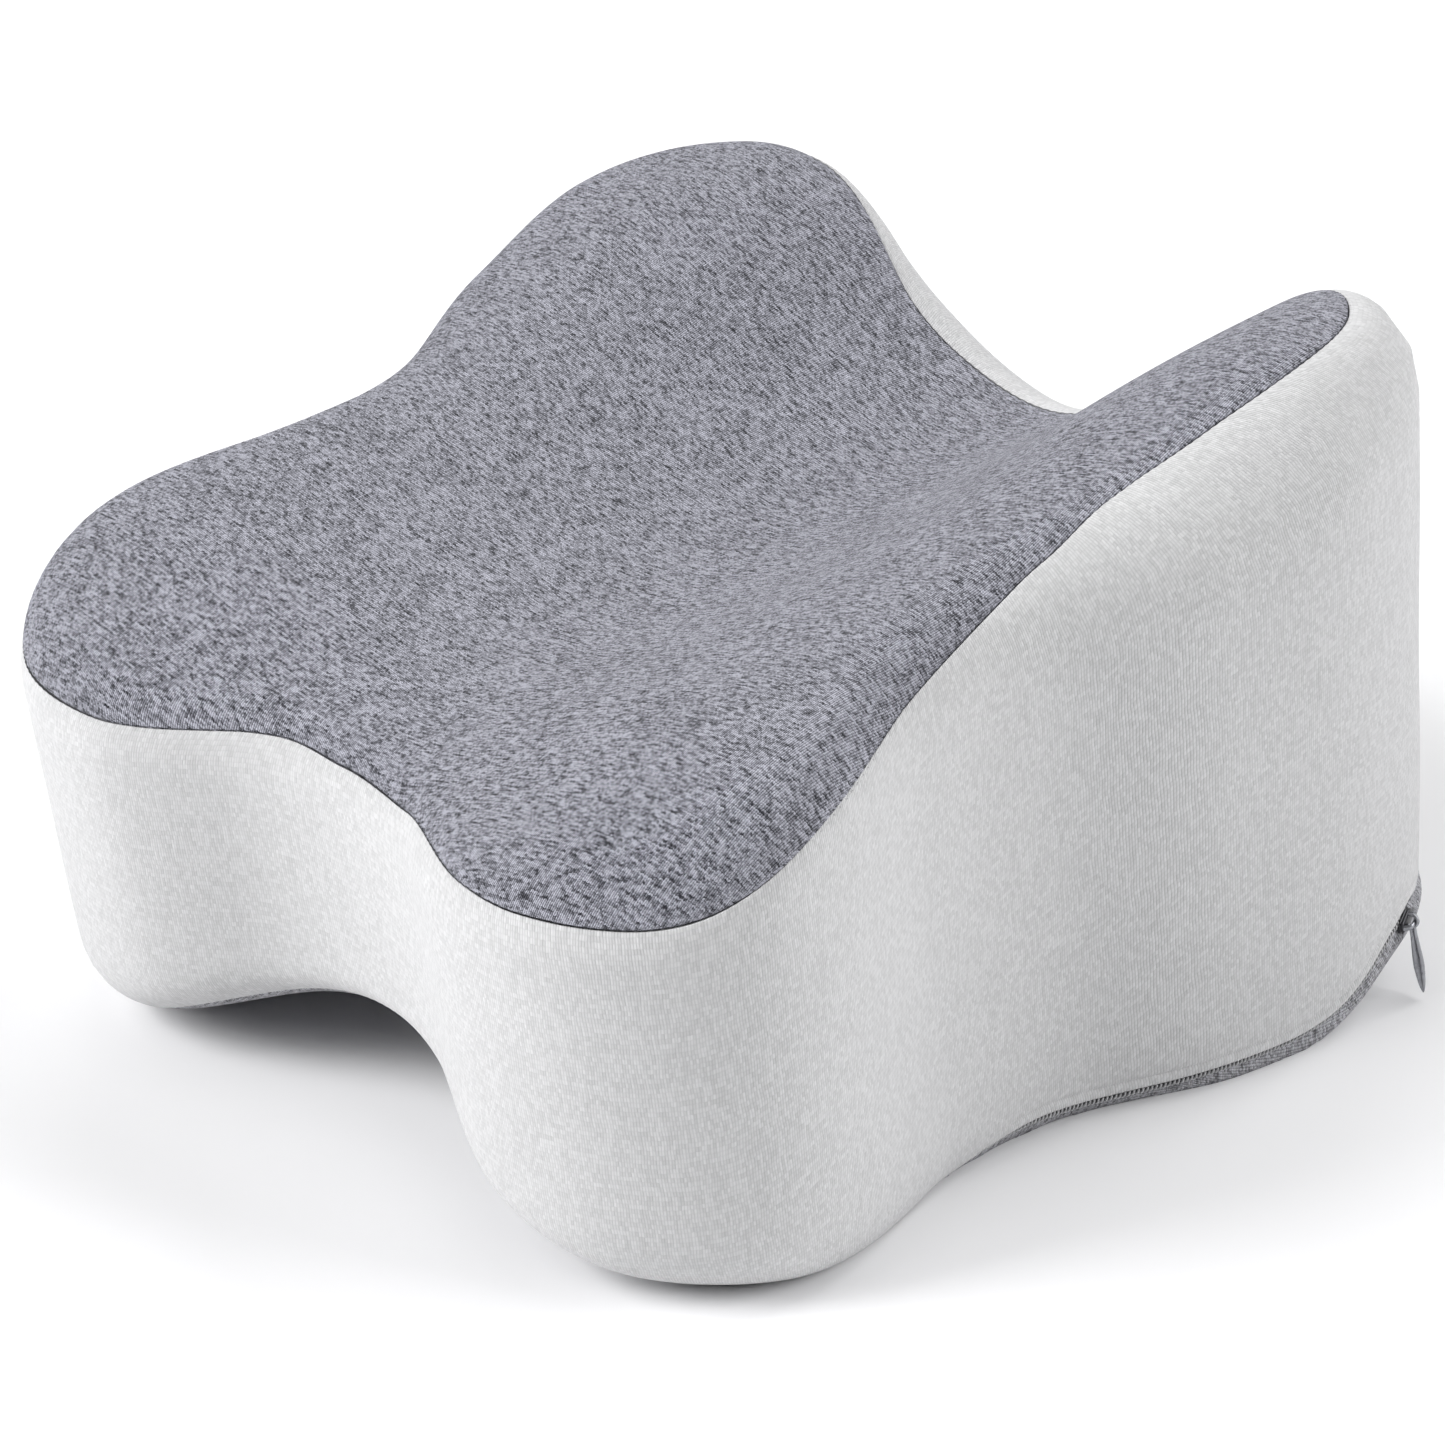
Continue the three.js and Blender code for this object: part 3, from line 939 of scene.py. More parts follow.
class Panel:
    """Rows of points from a seam to the middle of the upper or lower surface."""

    inner_counts: tuple[int, ...] = (384, 384, 192, 96, 48, 24)
    inner_bands: int = 7
    distance_inward: int = 90

    def __init__(self, form: PillowForm, weave: Weave, side: Side, inner_rings: int) -> None:
        """Lays out the rows.

        Args:
            form: The pillow's surface.
            weave: Counts of points round the pillow.
            side: Surface that the panel covers.
            inner_rings: Number of steps from the rows near the seam to the middle.
        """
        angles = form.even_angles(weave.finest)
        self.angles = angles
        self.seam = form.edge(SEAM_COLUMNS[side], angles)
        middle = form.middle_run(side, angles)
        last_near = NEAR_SEAM[-1]
        steps = [(self.seam + d, d, ring_count(d)) for d in NEAR_SEAM]
        for i in range(1, inner_rings):
            share = i / inner_rings
            run = (self.seam + last_near) * (1 - share) + middle * share
            band = min(int(share * self.inner_bands), len(self.inner_counts) - 1)
            steps.append((run, last_near + self.distance_inward * share, self.inner_counts[band]))
        self.runs = [run for run, _, _ in steps]
        self.distances = [distance for _, distance, _ in steps]
        self.counts = [count for _, _, count in steps]
        self.points = np.array([form.skin(angles, side, run) for run in self.runs])
        height = form.half_height(side, np.zeros(1), np.zeros(1))[0]
        self.centre = np.array([0, 0, side.value * height])
        hops = np.linalg.norm(np.diff(self.points, axis=0), axis=2)
        inward = np.cumsum(hops[::-1], axis=0)[::-1]
        lengths = np.concatenate([inward, np.zeros((1, len(angles)))])
        lengths += np.linalg.norm(self.points[-1] - self.centre, axis=1)
        direction = np.radians(angles)
        flat = [lengths * np.cos(direction), side.value * lengths * np.sin(direction)]
        self.cloth = np.stack(flat, axis=-1) * MM


@dataclass
class TopCover:
    """Grey knit panel over the ridges and the trough."""

    form: PillowForm
    weave: Weave
    thickness: float = 2.0
    touch: SeamTouch = field(default_factory=SeamTouch)
    inner_rings: int = 26
    first_hidden: int = 8
    hidden_step: int = 3
    waves: Waves = Waves(0.045, 0.0006, 3.0)

    def build(self) -> bpy.types.Object:
        """Makes the panel as a closed shell.

        Returns:
            The piece.
        """
        form = self.form
        panel = Panel(form, self.weave, Side.UPPER, self.inner_rings)
        shell = RingShell()
        rows = range(len(panel.counts))
        for row in reversed(rows):
            count = panel.counts[row]
            pick = self.weave.pick(count)
            points = form.place(panel.points[row][pick])
            distance = np.full(count, panel.distances[row])
            lift = self.touch.lift(distance, pick / self.weave.per_stitch)
            lift += self.waves.rise(points)
            shell.add(points, panel.cloth[row][pick], lift)
        hem = self.weave.pick(HEM_COUNT)
        for depth in (0.5, 1.0):
            inset = self.thickness * depth
            points = form.skin(panel.angles[hem], Side.UPPER, panel.seam[hem], inset)
            shell.add(form.place(points), panel.cloth[0][hem])
        for row in rows[self.first_hidden :: self.hidden_step]:
            pick = self.weave.pick(min(panel.counts[row], HIDDEN_COUNT))
            run = panel.runs[row][pick]
            points = form.skin(panel.angles[pick], Side.UPPER, run, self.thickness)
            shell.add(form.place(points), panel.cloth[row][pick])
        under = panel.centre - [0, 0, self.thickness]
        return shell.build("top_cover", form.place(panel.centre), form.place(under))


@dataclass
class ZipSlot:
    """Slot between the side band's lip and the bottom panel, which the zip fills."""

    width: float = 1.9
    start_angle: float = -21.0
    end_angle: float = 38.5
    fade: float = 3.0
    opening: float = 13.0
    stitch_distance: float = 2.6
    groove: float = 0.45
    groove_width: float = 0.35
    lip_rise: float = 0.3
    lip_distance: float = 0.9
    lip_width: float = 0.7

    def share(self, angle: Array) -> Array:
        """1 over the zip, 0 elsewhere, with a smooth change at its ends.

        Args:
            angle: Directions round the pillow, in degrees.

        Returns:
            The share in each direction.
        """
        position = np.where(angle > 180, angle - 360, angle)
        rise = smooth_step(position, self.start_angle - self.fade, self.start_angle + self.opening)
        fall = smooth_step(position, self.end_angle, self.end_angle + self.fade)
        return rise * (1 - fall)

    def relief(self, from_foot: Array) -> Array:
        """Rise of the rolled lip less the topstitch groove, in millimetres.

        Args:
            from_foot: Distance up from the lip's edge.

        Returns:
            The rise at each distance.
        """
        groove = np.exp(-(((from_foot - self.stitch_distance) / self.groove_width) ** 2))
        rolled = np.exp(-(((from_foot - self.lip_distance) / self.lip_width) ** 2))
        return rolled * self.lip_rise - groove * self.groove


@dataclass
class SideCover:
    """White ribbed band round the sides."""

    form: PillowForm
    weave: Weave
    slot: ZipSlot
    thickness: float = 2.0
    touch: SeamTouch = field(default_factory=lambda: SeamTouch(roll=0.35, sink=0.3))
    lip_touch: SeamTouch = field(
        default_factory=lambda: SeamTouch(roll=0.35, sink=0.0, pinch=0.05)
    )
    waves: Waves = Waves(0.05, 0.0005, 8.0)
    wall_rings: int = 16
    near_limit: float = 10.0
    clearance: float = 0.5
    stitch_rows: tuple[float, ...] = (2.0, 2.3, 2.6, 2.9, 3.2, 3.8, 4.6)
    inner_shares: tuple[float, ...] = (1.0, 0.9, 0.7, 0.5, 0.3, 0.1, 0.0)

    def build(self) -> bpy.types.Object:
        """Makes the band as a closed shell.

        Returns:
            The piece.
        """
        form = self.form
        angles = form.even_angles(self.weave.finest)
        upper = form.edge("upper_seam", angles)
        lower = form.edge("lower_seam", angles) - self.slot.width * self.slot.share(angles)
        total = upper + form.wall_drop(angles) + lower
        near = [d for d in NEAR_SEAM if d <= self.near_limit]
        first, last = self.stitch_rows[0], self.stitch_rows[-1]
        plain = (d for d in near if d < first or d > last)
        foot = sorted({*plain, *self.stitch_rows}, reverse=True)
        steps: list[tuple[Array, Array, int]] = []
        for d in near:
            steps.append((np.full_like(total, d), total - d, ring_count(d)))
        for i in range(1, self.wall_rings):
            down = near[-1] + (total - near[-1] - foot[0]) * (i / self.wall_rings)
            steps.append((down, total - down, HEM_COUNT))
        for d in foot:
            steps.append((total - d, np.full_like(total, d), ring_count(d)))
        shell = RingShell(floor=self.clearance * MM)
        round_length = self.round_length(angles)
        across = np.arange(self.weave.finest) / self.weave.finest * round_length
        for down, from_foot, count in steps:
            pick = self.weave.pick(count)
            outer = self.at(angles[pick], down[pick], 0.0, upper[pick], lower[pick], total[pick])
            points = form.place(outer, self.clearance)
            stitch = pick / self.weave.per_stitch
            lift = self.touch.lift(down[pick], stitch)
            lift += self.lip_touch.lift(from_foot[pick], stitch)
            relief = self.slot.relief(from_foot[pick])
            lift += relief * MM * self.slot.share(angles[pick])
            lift += self.waves.rise(points)
            shell.add(points, np.stack([across[pick], down[pick] * MM], axis=-1), lift)
        for share in self.inner_shares:
            pick = self.weave.pick(HIDDEN_COUNT if 0 < share < 1 else HEM_COUNT)
            down = total[pick] * share
            inset = self.thickness
            inner = self.at(angles[pick], down, inset, upper[pick], lower[pick], total[pick])
            cloth = np.stack([across[pick], down * MM], axis=-1)
            shell.add(form.place(inner, self.clearance), cloth)
        return shell.build("side_cover", closed=True, round_length=round_length)

    def round_length(self, angles: Array) -> float:
        """Length of the band once round, in metres, as a whole number of ribs.

        Args:
            angles: The finest columns round the pillow.

        Returns:
            The length.
        """
        points = self.form.skin(angles, Side.UPPER, np.zeros_like(angles))
        length = np.linalg.norm(points - np.roll(points, -1, axis=0), axis=1).sum() * MM
        return round(length / WHITE_KNIT.wale_pitch) * WHITE_KNIT.wale_pitch

    def at(
        self, angle: Array, down: Array, inset: float, upper: Array, lower: Array, total: Array
    ) -> Array:
        """Points of the band, by their distance down from the upper seam.

        Args:
            angle: Directions round the pillow, in degrees.
            down: Distance down the band.
            inset: Depth under the outer surface.
            upper: Run of the upper seam.
            lower: Run of the band's lower edge.
            total: Length of the band from edge to edge.

        Returns:
            Points in the pillow's frame.
        """
        from_upper = self.form.skin(angle, Side.UPPER, upper - down, inset)
        from_lower = self.form.skin(angle, Side.LOWER, lower - (total - down), inset)
        on_upper = (down < upper + (total - upper - np.maximum(lower, 0)) / 2)[:, None]
        return np.where(on_upper, from_upper, from_lower)


@dataclass(frozen=True)
class Belly:
    """Bulge of the filling, in degrees round the pillow and millimetres from the seam."""

    height: float
    angle: float
    spread: float
    distance: float
    width: float


@dataclass
class FilledBody:
    """Filling under the covers, with the grey bottom panel."""

    form: PillowForm
    weave: Weave
    cover: float = 2.3
    touch: SeamTouch = field(default_factory=lambda: SeamTouch(roll=0.5, sink=0.5))
    inner_rings: int = 20
    floor_margin: float = 0.0001
    sag_start: float = 3.0
    hidden_shares: tuple[float, ...] = (0.06, 0.2, 0.4, 0.6, 0.75, 0.88, 0.97)
    hidden_steps: tuple[float, float] = (8.0, 4.0)
    bellies: tuple[Belly, ...] = (Belly(4.0, 20, 12, 8, 9), Belly(1.6, 41, 5, 4, 5))

    def build(self) -> bpy.types.Object:
        """Makes the body as a closed solid.

        Returns:
            The piece.
        """
        form = self.form
        panel = Panel(form, self.weave, Side.LOWER, self.inner_rings)
        shell = RingShell()
        self.add_covered(shell, panel.angles)
        for row, count in enumerate(panel.counts):
            pick = self.weave.pick(count)
            points = form.place(panel.points[row][pick])
            distance = panel.distances[row]
            lift = self.touch.lift(np.full(count, distance), pick / self.weave.per_stitch)
            lift += self.sag(panel.angles[pick], distance)
            on_floor = points[:, 2] < self.floor_margin
            shell.add(points, panel.cloth[row][pick], np.where(on_floor, 0, lift))
        height = form.half_height(Side.UPPER, np.zeros(1), np.zeros(1))[0]
        top = np.array([0, 0, height - self.cover])
        return shell.build("filled_body", form.place(top), form.place(panel.centre))

    def sag(self, angle: Array, distance: float) -> Array:
        """Rise of the bottom panel where the filling bulges under the zip, in metres.

        Args:
            angle: Directions round the pillow, in degrees.
            distance: Distance from the seam, in millimetres.

        Returns:
            The rise in each direction.
        """
        side_angle = self.form.table_angle(angle)
        rise = np.zeros_like(side_angle)
        for belly in self.bellies:
            round_share = np.exp(-(((side_angle - belly.angle) / belly.spread) ** 2))
            inward = math.exp(-(((distance - belly.distance) / belly.width) ** 2))
            rise += belly.height * round_share * inward
        return rise * MM * min(distance / self.sag_start, 1.0)

    def add_covered(self, shell: RingShell, angles: Array) -> None:
        """Adds the part that lies under the top panel and the band.

        Args:
            shell: Shell to add to.
            angles: The finest columns round the pillow.
        """
        form = self.form
        angle = angles[self.weave.pick(HIDDEN_COUNT)]
        lower = form.edge("lower_seam", angle)
        middle = form.middle_run(Side.UPPER, angle)
        far, near = self.hidden_steps
        rows = [(Side.UPPER, middle * (1 - share)) for share in self.hidden_shares]
        rows += [(Side.UPPER, np.zeros_like(angle)), (Side.LOWER, np.minimum(lower, 0) - far)]
        rows += [(Side.LOWER, lower - near), (Side.LOWER, lower)]
        for side, run in rows:
            points = form.place(form.skin(angle, side, run, self.cover))
            shell.add(points, points[:, :2])


def bar_mesh(name: str, sections: Array, closed: bool = False) -> bpy.types.Mesh:
    """Bar through cross sections that all have the same number of points.

    Args:
        name: Name of the mesh.
        sections: Points in metres, as sections by points by 3.
        closed: Whether the last section joins the first one.

    Returns:
        A closed mesh, shaded smooth, with its faces outward.
    """
    count, sides, _ = sections.shape
    points = sections.reshape(-1, 3).tolist()
    faces = []
    for i in range(count if closed else count - 1):
        here, there = i * sides, (i + 1) % count * sides
        for k in range(sides):
            turn = (k + 1) % sides
            faces.append((here + k, here + turn, there + turn, there + k))
    if not closed:
        for start in (0, (count - 1) * sides):
            tip = len(points)
            points.append(np.mean(points[start : start + sides], axis=0).tolist())
            faces += [(start + k, start + (k + 1) % sides, tip) for k in range(sides)]
    mesh = bpy.data.meshes.new(name)
    mesh.from_pydata(points, [], faces)
    turn_out(mesh)
    return mesh


def turn_out(mesh: bpy.types.Mesh) -> None:
    """Turns the faces of a closed mesh outward and shades it smooth.

    Args:
        mesh: The mesh.
    """
    shape = bmesh.new()
    shape.from_mesh(mesh)
    bmesh.ops.recalc_face_normals(shape, faces=shape.faces)
    shape.to_mesh(mesh)
    shape.free()
    mesh.shade_smooth()


def joined(name: str, meshes: Sequence[bpy.types.Mesh]) -> bpy.types.Mesh:
    """One mesh from several, which are removed.

    Args:
        name: Name of the new mesh.
        meshes: The meshes to join.

    Returns:
        The new mesh.
    """
    shape = bmesh.new()
    for mesh in meshes:
        shape.from_mesh(mesh)
    whole = bpy.data.meshes.new(name)
    shape.to_mesh(whole)
    shape.free()
    for mesh in meshes:
        bpy.data.meshes.remove(mesh)
    whole.shade_smooth()
    return whole


@dataclass
class ThreadRow:
    """Row of small arched threads along a line on the cloth, made with Geometry Nodes."""

    name: str
    pitch: float
    length: float
    rise: float
    radius: float
    slant_deg: float = 0.0
    steps: int = 5
    sides: int = 6

    def tree(self) -> bpy.types.GeometryNodeTree:
        """Node tree that sets arched threads along a line.

        Returns:
            A tree whose inputs are the row's sizes, the line and the material.
        """
        tree = bpy.data.node_groups.new("arched threads along a line", "GeometryNodeTree")
        faces = tree.interface
        faces.new_socket("Line", in_out="INPUT", socket_type="NodeSocketGeometry")
        for name in ("Pitch", "Length", "Rise", "Radius", "Slant"):
            faces.new_socket(name, in_out="INPUT", socket_type="NodeSocketFloat")
        faces.new_socket("Material", in_out="INPUT", socket_type="NodeSocketMaterial")
        faces.new_socket("Threads", in_out="OUTPUT", socket_type="NodeSocketGeometry")
        build = NodeBuilder(tree)
        given = build.add("NodeGroupInput").outputs
        curve = build.add("GeometryNodeMeshToCurve", {"Mesh": given["Line"]}).outputs[0]
        places = build.add(
            "GeometryNodeResampleCurve", {"Curve": curve, "Length": given["Pitch"]}, mode="LENGTH"
        ).outputs[0]
        half = build.math("MULTIPLY", given["Length"], 0.5)
        back = build.math("MULTIPLY", half, -1.0)
        crest = build.math("MULTIPLY", given["Rise"], 2.0)
        arch = build.add(
            "GeometryNodeCurveQuadraticBezier",
            {
                "Resolution": self.steps,
                "Start": build.combine(back, 0.0),
                "Middle": build.combine(0.0, 0.0, crest),
                "End": build.combine(half, 0.0),
            },
        ).outputs[0]
        ring = build.add(
            "GeometryNodeCurvePrimitiveCircle",
            {"Resolution": self.sides, "Radius": given["Radius"]},
        ).outputs[0]
        thread = build.add(
            "GeometryNodeCurveToMesh", {"Curve": arch, "Profile Curve": ring, "Fill Caps": True}
        ).outputs[0]
        tangent = build.add("GeometryNodeInputTangent").outputs[0]
        outward = build.add(
            "GeometryNodeInputNamedAttribute", {"Name": "outward"}, data_type="FLOAT_VECTOR"
        )
        along = build.add("FunctionNodeAlignRotationToVector", {"Vector": tangent}, axis="X")
        upright = build.add(
            "FunctionNodeAlignRotationToVector",
            {"Rotation": along.outputs[0], "Vector": outward.outputs[0]},
            axis="Z",
            pivot_axis="X",
        )
        turn = build.add(
            "FunctionNodeAxisAngleToRotation", {"Axis": (0, 0, 1), "Angle": given["Slant"]}
        )
        slanted = build.add(
            "FunctionNodeRotateRotation",
            {"Rotation": upright.outputs[0], "Rotate By": turn.outputs[0]},
            rotation_space="LOCAL",
        )
        set_out = build.add(
            "GeometryNodeInstanceOnPoints",
            {"Points": places, "Instance": thread, "Rotation": slanted.outputs[0]},
        ).outputs[0]
        real = build.add("GeometryNodeRealizeInstances", {"Geometry": set_out}).outputs[0]
        named = build.add(
            "GeometryNodeSetMaterial", {"Geometry": real, "Material": given["Material"]}
        )
        result = build.add("NodeGroupOutput")
        tree.links.new(named.outputs[0], result.inputs[0])
        return tree

    def build(self, line: Array, outward: Array, material: bpy.types.Material) -> bpy.types.Object:
        """Sets the threads along a line.

        Args:
            line: Points of the line, in metres.
            outward: Direction out of the cloth at each point.
            material: Material of the threads.

        Returns:
            The row as a plain mesh.
        """
        mesh = bpy.data.meshes.new("line")
        mesh.from_pydata(line.tolist(), [(i, i + 1) for i in range(len(line) - 1)], [])
        layer = mesh.attributes.new("outward", "FLOAT_VECTOR", "POINT")
        layer.data.foreach_set("vector", outward.astype(np.float32).ravel())
        base = add_object("line", mesh)
        modifier = base.modifiers.new("threads", "NODES")
        modifier.node_group = self.tree()
        sizes = {
            "Pitch": self.pitch,
            "Length": self.length,
            "Rise": self.rise,
            "Radius": self.radius,
            "Slant": math.radians(self.slant_deg),
            "Material": material,
        }
        for item in modifier.node_group.interface.items_tree:
            if item.name in sizes:
                modifier[item.identifier] = sizes[item.name]
        shown = base.evaluated_get(bpy.context.evaluated_depsgraph_get())
        threads = bpy.data.meshes.new_from_object(shown)
        threads.name = self.name
        bpy.data.objects.remove(base)
        turn_out(threads)
        return add_object(self.name, threads)


@dataclass
class ZipChain:
    """Zip in the slot under the lip: a tape painted near-black as the shade under the lip, with a
    row of coil loops on it.
    """

    form: PillowForm
    slot: ZipSlot
    tape_top: float = 0.6
    tape_foot: float = 1.8
    tape_gap: float = 0.02
    tape_bevel: float = 0.15
    loop_depth: float = 0.3
    stitch_depth: float = 0.12
    start_margin: float = 1.0
    end_margin: float = 2.0
    tape_end_margin: float = 1.5
    outward_step: float = 0.5
    lip_stitch: ThreadRow = field(
        default_factory=lambda: ThreadRow(
            "lip_topstitch", pitch=0.0022, length=0.0018, rise=0.00006, radius=0.00011, steps=4
        )
    )
    loops: ThreadRow = field(
        default_factory=lambda: ThreadRow(
            "coil_loops", pitch=0.0011, length=0.0015, rise=0.0004, radius=0.00025, slant_deg=62.0
        )
    )

    def stations(self, first: float, last: float, step: float = 0.25) -> Array:
        """Angles along the zip."""
        return np.arange(first, last + step / 2, step)

    def line(self, angles: Array, before_seam: Array | float, inset: float) -> tuple[Array, Array]:
        """Line along the lower seam, with the direction out of the cloth.

        Args:
            angles: Angles of its points.
            before_seam: Distance up from the seam.
            inset: Depth under the outer surface.

        Returns:
            Points in metres, and directions.
        """
        run = self.form.edge("lower_seam", angles) - before_seam
        low = self.form.place(self.form.skin(angles, Side.LOWER, run, inset))
        high = self.form.place(self.form.skin(angles, Side.LOWER, run, inset - self.outward_step))
        outward = high - low
        return low, outward / np.linalg.norm(outward, axis=1)[:, None]

    def build_tape(self) -> bpy.types.Object:
        """Makes the tape as a closed strip.

        Returns:
            The piece.
        """
        first = self.slot.start_angle - self.start_margin
        angles = self.stations(first, self.slot.end_angle - self.tape_end_margin)
        width, gap = self.slot.width, self.tape_gap
        edge = self.tape_top + self.tape_bevel
        corners = (
            (gap, self.tape_foot),
            (gap, edge),
            (width * 0.25, self.tape_top),
            (width * 0.75, self.tape_top),
            (width - gap, edge),
            (width - gap, self.tape_foot),
        )
        rows = [self.line(angles, before, inset)[0] for before, inset in corners]
        return add_object("zip_tape", bar_mesh("zip_tape", np.stack(rows, axis=1)))

    def build_loops(self, material: bpy.types.Material) -> bpy.types.Object:
        """Makes the coil's loops.

        Args:
            material: Material of the loops.

        Returns:
            The piece.
        """
        angles = self.stations(self.slot.start_angle, self.slot.end_angle - self.end_margin)
        line, outward = self.line(angles, self.slot.width * 0.5, self.loop_depth)
        return self.loops.build(line, outward, material)

    def build_lip_stitch(self, material: bpy.types.Material) -> bpy.types.Object:
        """Makes the topstitch above the lip's edge.

        Args:
            material: Material of the threads.

        Returns:
            The piece.
        """
        first = self.slot.start_angle + self.start_margin
        angles = self.stations(first, self.slot.end_angle - self.end_margin)
        before = self.slot.width + self.slot.stitch_distance
        line, outward = self.line(angles, before, self.slot.groove + self.stitch_depth)
        return self.lip_stitch.build(line, outward, material)


def smooth_path(points: Array, count: int) -> Array:
    """Points spaced along a smooth curve through the given ones.

    Args:
        points: The given points.
        count: Number of points to return.

    Returns:
        The points along the curve.
    """
    ends = np.concatenate([[2 * points[0] - points[1]], points, [2 * points[-1] - points[-2]]])
    places = np.linspace(0, len(points) - 1, count)
    i = np.minimum(places.astype(int), len(points) - 2)
    t = (places - i)[:, None]
    a, b, c, d = (ends[i + k] for k in range(4))
    square = 2 * a - 5 * b + 4 * c - d
    cube = 3 * b - a - 3 * c + d
    return 0.5 * (2 * b + (c - a) * t + square * t**2 + cube * t**3)


PLATE_LAYERS = (
    (0.0, 0.25), (0.2, 0.0), (0.55, 0.0), (0.6, 0.3),
    (0.8, 0.3), (0.85, 0.0), (1.15, 0.0), (1.3, 0.3),
)
CROWN_SPINE = (
    (-2.7, 0.9), (-2.4, 1.9), (-1.5, 2.7), (0, 2.85), (1.5, 2.7), (2.4, 1.9), (2.7, 0.9),
)
LEAF_QUARTER = ((1, 0.0), (0.93, 0.62), (0.72, 0.95), (0.5, 1.0), (0.36, 0.5), (0.0, 0.42))


@dataclass
class ZipSlider:
    """Slider past the end of the coil, and the puller that hangs from its crown."""

    form: PillowForm
    angle: float = 37.2
    station_before: float = 35.0
    station_after: float = 40.0
    lift: float = 10.0
    gap: float = 0.3
    length: float = 6.6
    nose_width: float = 4.6
    tail_width: float = 3.2
    nose_round: float = 2.2
    tail_round: float = 0.7
    wire_depth: float = 0.42
    wire_width: float = 0.72
    crown_rings: int = 25
    wire_sides: int = 10
    bar_height: float = 2.1
    ring_drop: float = -0.3
    eye_outer: float = 1.9
    eye_inner: float = 1.1
    leaf_width: float = 2.6
    leaf_foot: float = 17.9
    leaf_thickness: float = 1.2
    leaf_neck: float = 0.75
    leaf_start: float = 1.35
    leaf_tip: float = 6.3
    leaf_widening: tuple[float, float] = (2.0, 11.0)
    shaft_margin: float = 6.4
    shaft_rings: int = 14
    tip_reach: tuple[float, float] = (6.2, 0.05)
    tip_rings: int = 16
    thinning_length: float = 3.0
    thinning_margin: float = 0.6
    thinnest_share: float = 0.3
    eye_half_depth: float = 0.5
    eye_rings: int = 32
    eye_sides: int = 12
    lean_deg: float = 14.0

    def axes(self) -> tuple[Array, Array, Array, Array]:
        """Origin on the seam in metres, and the directions along the zip, outward and up.

        Returns:
            The origin and the three directions.
        """

        def seam_point(angle: float, lift: float) -> Array:
            """Point above the lower seam, in metres.

            Args:
                angle: Direction round the pillow.
                lift: Distance up from the seam, in millimetres.

            Returns:
                The point.
            """
            station = np.array([angle])
            run = self.form.edge("lower_seam", station) - lift
            return self.form.place(self.form.skin(station, Side.LOWER, run))[0]

        before = seam_point(self.station_before, 0)
        after = seam_point(self.station_after, 0)
        above = seam_point(self.station_before, self.lift)
        along = (after - before) / np.linalg.norm(after - before)
        outward = np.cross(along, above - before)
        outward /= np.linalg.norm(outward)
        share = (self.angle - self.station_before) / (self.station_after - self.station_before)
        origin = before + (after - before) * share + outward * self.gap * MM
        return origin, along, outward, np.cross(along, outward)

    def plate_outline(self, inset: float) -> Array:
        """Outline of the slider's plate, drawn in by inset, as points along and up.

        Args:
            inset: How far the outline is drawn in, in millimetres.

        Returns:
            The points, one row each.
        """
        half = self.length / 2 - inset
        tail, nose = self.tail_width / 2 - inset, self.nose_width / 2 - inset
        turn = np.linspace(-np.pi / 2, np.pi / 2, 13)
        nose_along = half - self.nose_round + self.nose_round * np.cos(turn)
        round_nose = np.stack([nose_along, nose * np.sin(turn)], axis=1)
        corner = np.linspace(np.pi / 2, np.pi, 5)[:-1]
        radius = self.tail_round
        tail_along = -half + radius + radius * np.cos(corner)
        top = np.stack([tail_along, tail - radius + radius * np.sin(corner)], axis=1)
        return np.concatenate([round_nose, top, top[::-1] * [1, -1]])

    def build_slider(self) -> tuple[bpy.types.Object, bpy.types.Object]:
        """Makes the slider's plates and its crown.

        Returns:
            The two pieces.
        """
        origin, along, outward, up = self.axes()
        axes = np.stack([along, outward, up])
        sections = []
        for height, inset in PLATE_LAYERS:
            edge = self.plate_outline(inset)
            flat = np.stack([edge[:, 0], np.full(len(edge), height), edge[:, 1]], axis=1)
            sections.append(origin + flat @ axes * MM)
        plates = bar_mesh("slider_plates", np.array(sections))
        spine = smooth_path(np.array(CROWN_SPINE), self.crown_rings)
        turn = np.linspace(0, 2 * np.pi, self.wire_sides, endpoint=False)
        heading = np.gradient(spine, axis=0)
        heading /= np.linalg.norm(heading, axis=1)[:, None]
        sections = []
        for (x, y), (dx, dy) in zip(spine, heading):
            deep = self.wire_depth * np.sin(turn)
            ring = np.stack([x - dy * deep, y + dx * deep, self.wire_width * np.cos(turn)], axis=1)
            sections.append(origin + ring @ axes * MM)
        crown = bar_mesh("slider_crown", np.array(sections))
        return add_object("slider_plates", plates), add_object("slider_crown", crown)

    def leaf_half_width(self, down: Array) -> Array:
        """Half the leaf's width at a distance down from the eye's centre.

        Args:
            down: The distance, in millimetres.

        Returns:
            Half the width at each distance.
        """
        widen = smooth_step(down, *self.leaf_widening)
        tip = np.sqrt(np.clip((self.leaf_foot - down) / self.leaf_tip, 0, 1))
        return (self.leaf_neck + (self.leaf_width / 2 - self.leaf_neck) * widen) * tip

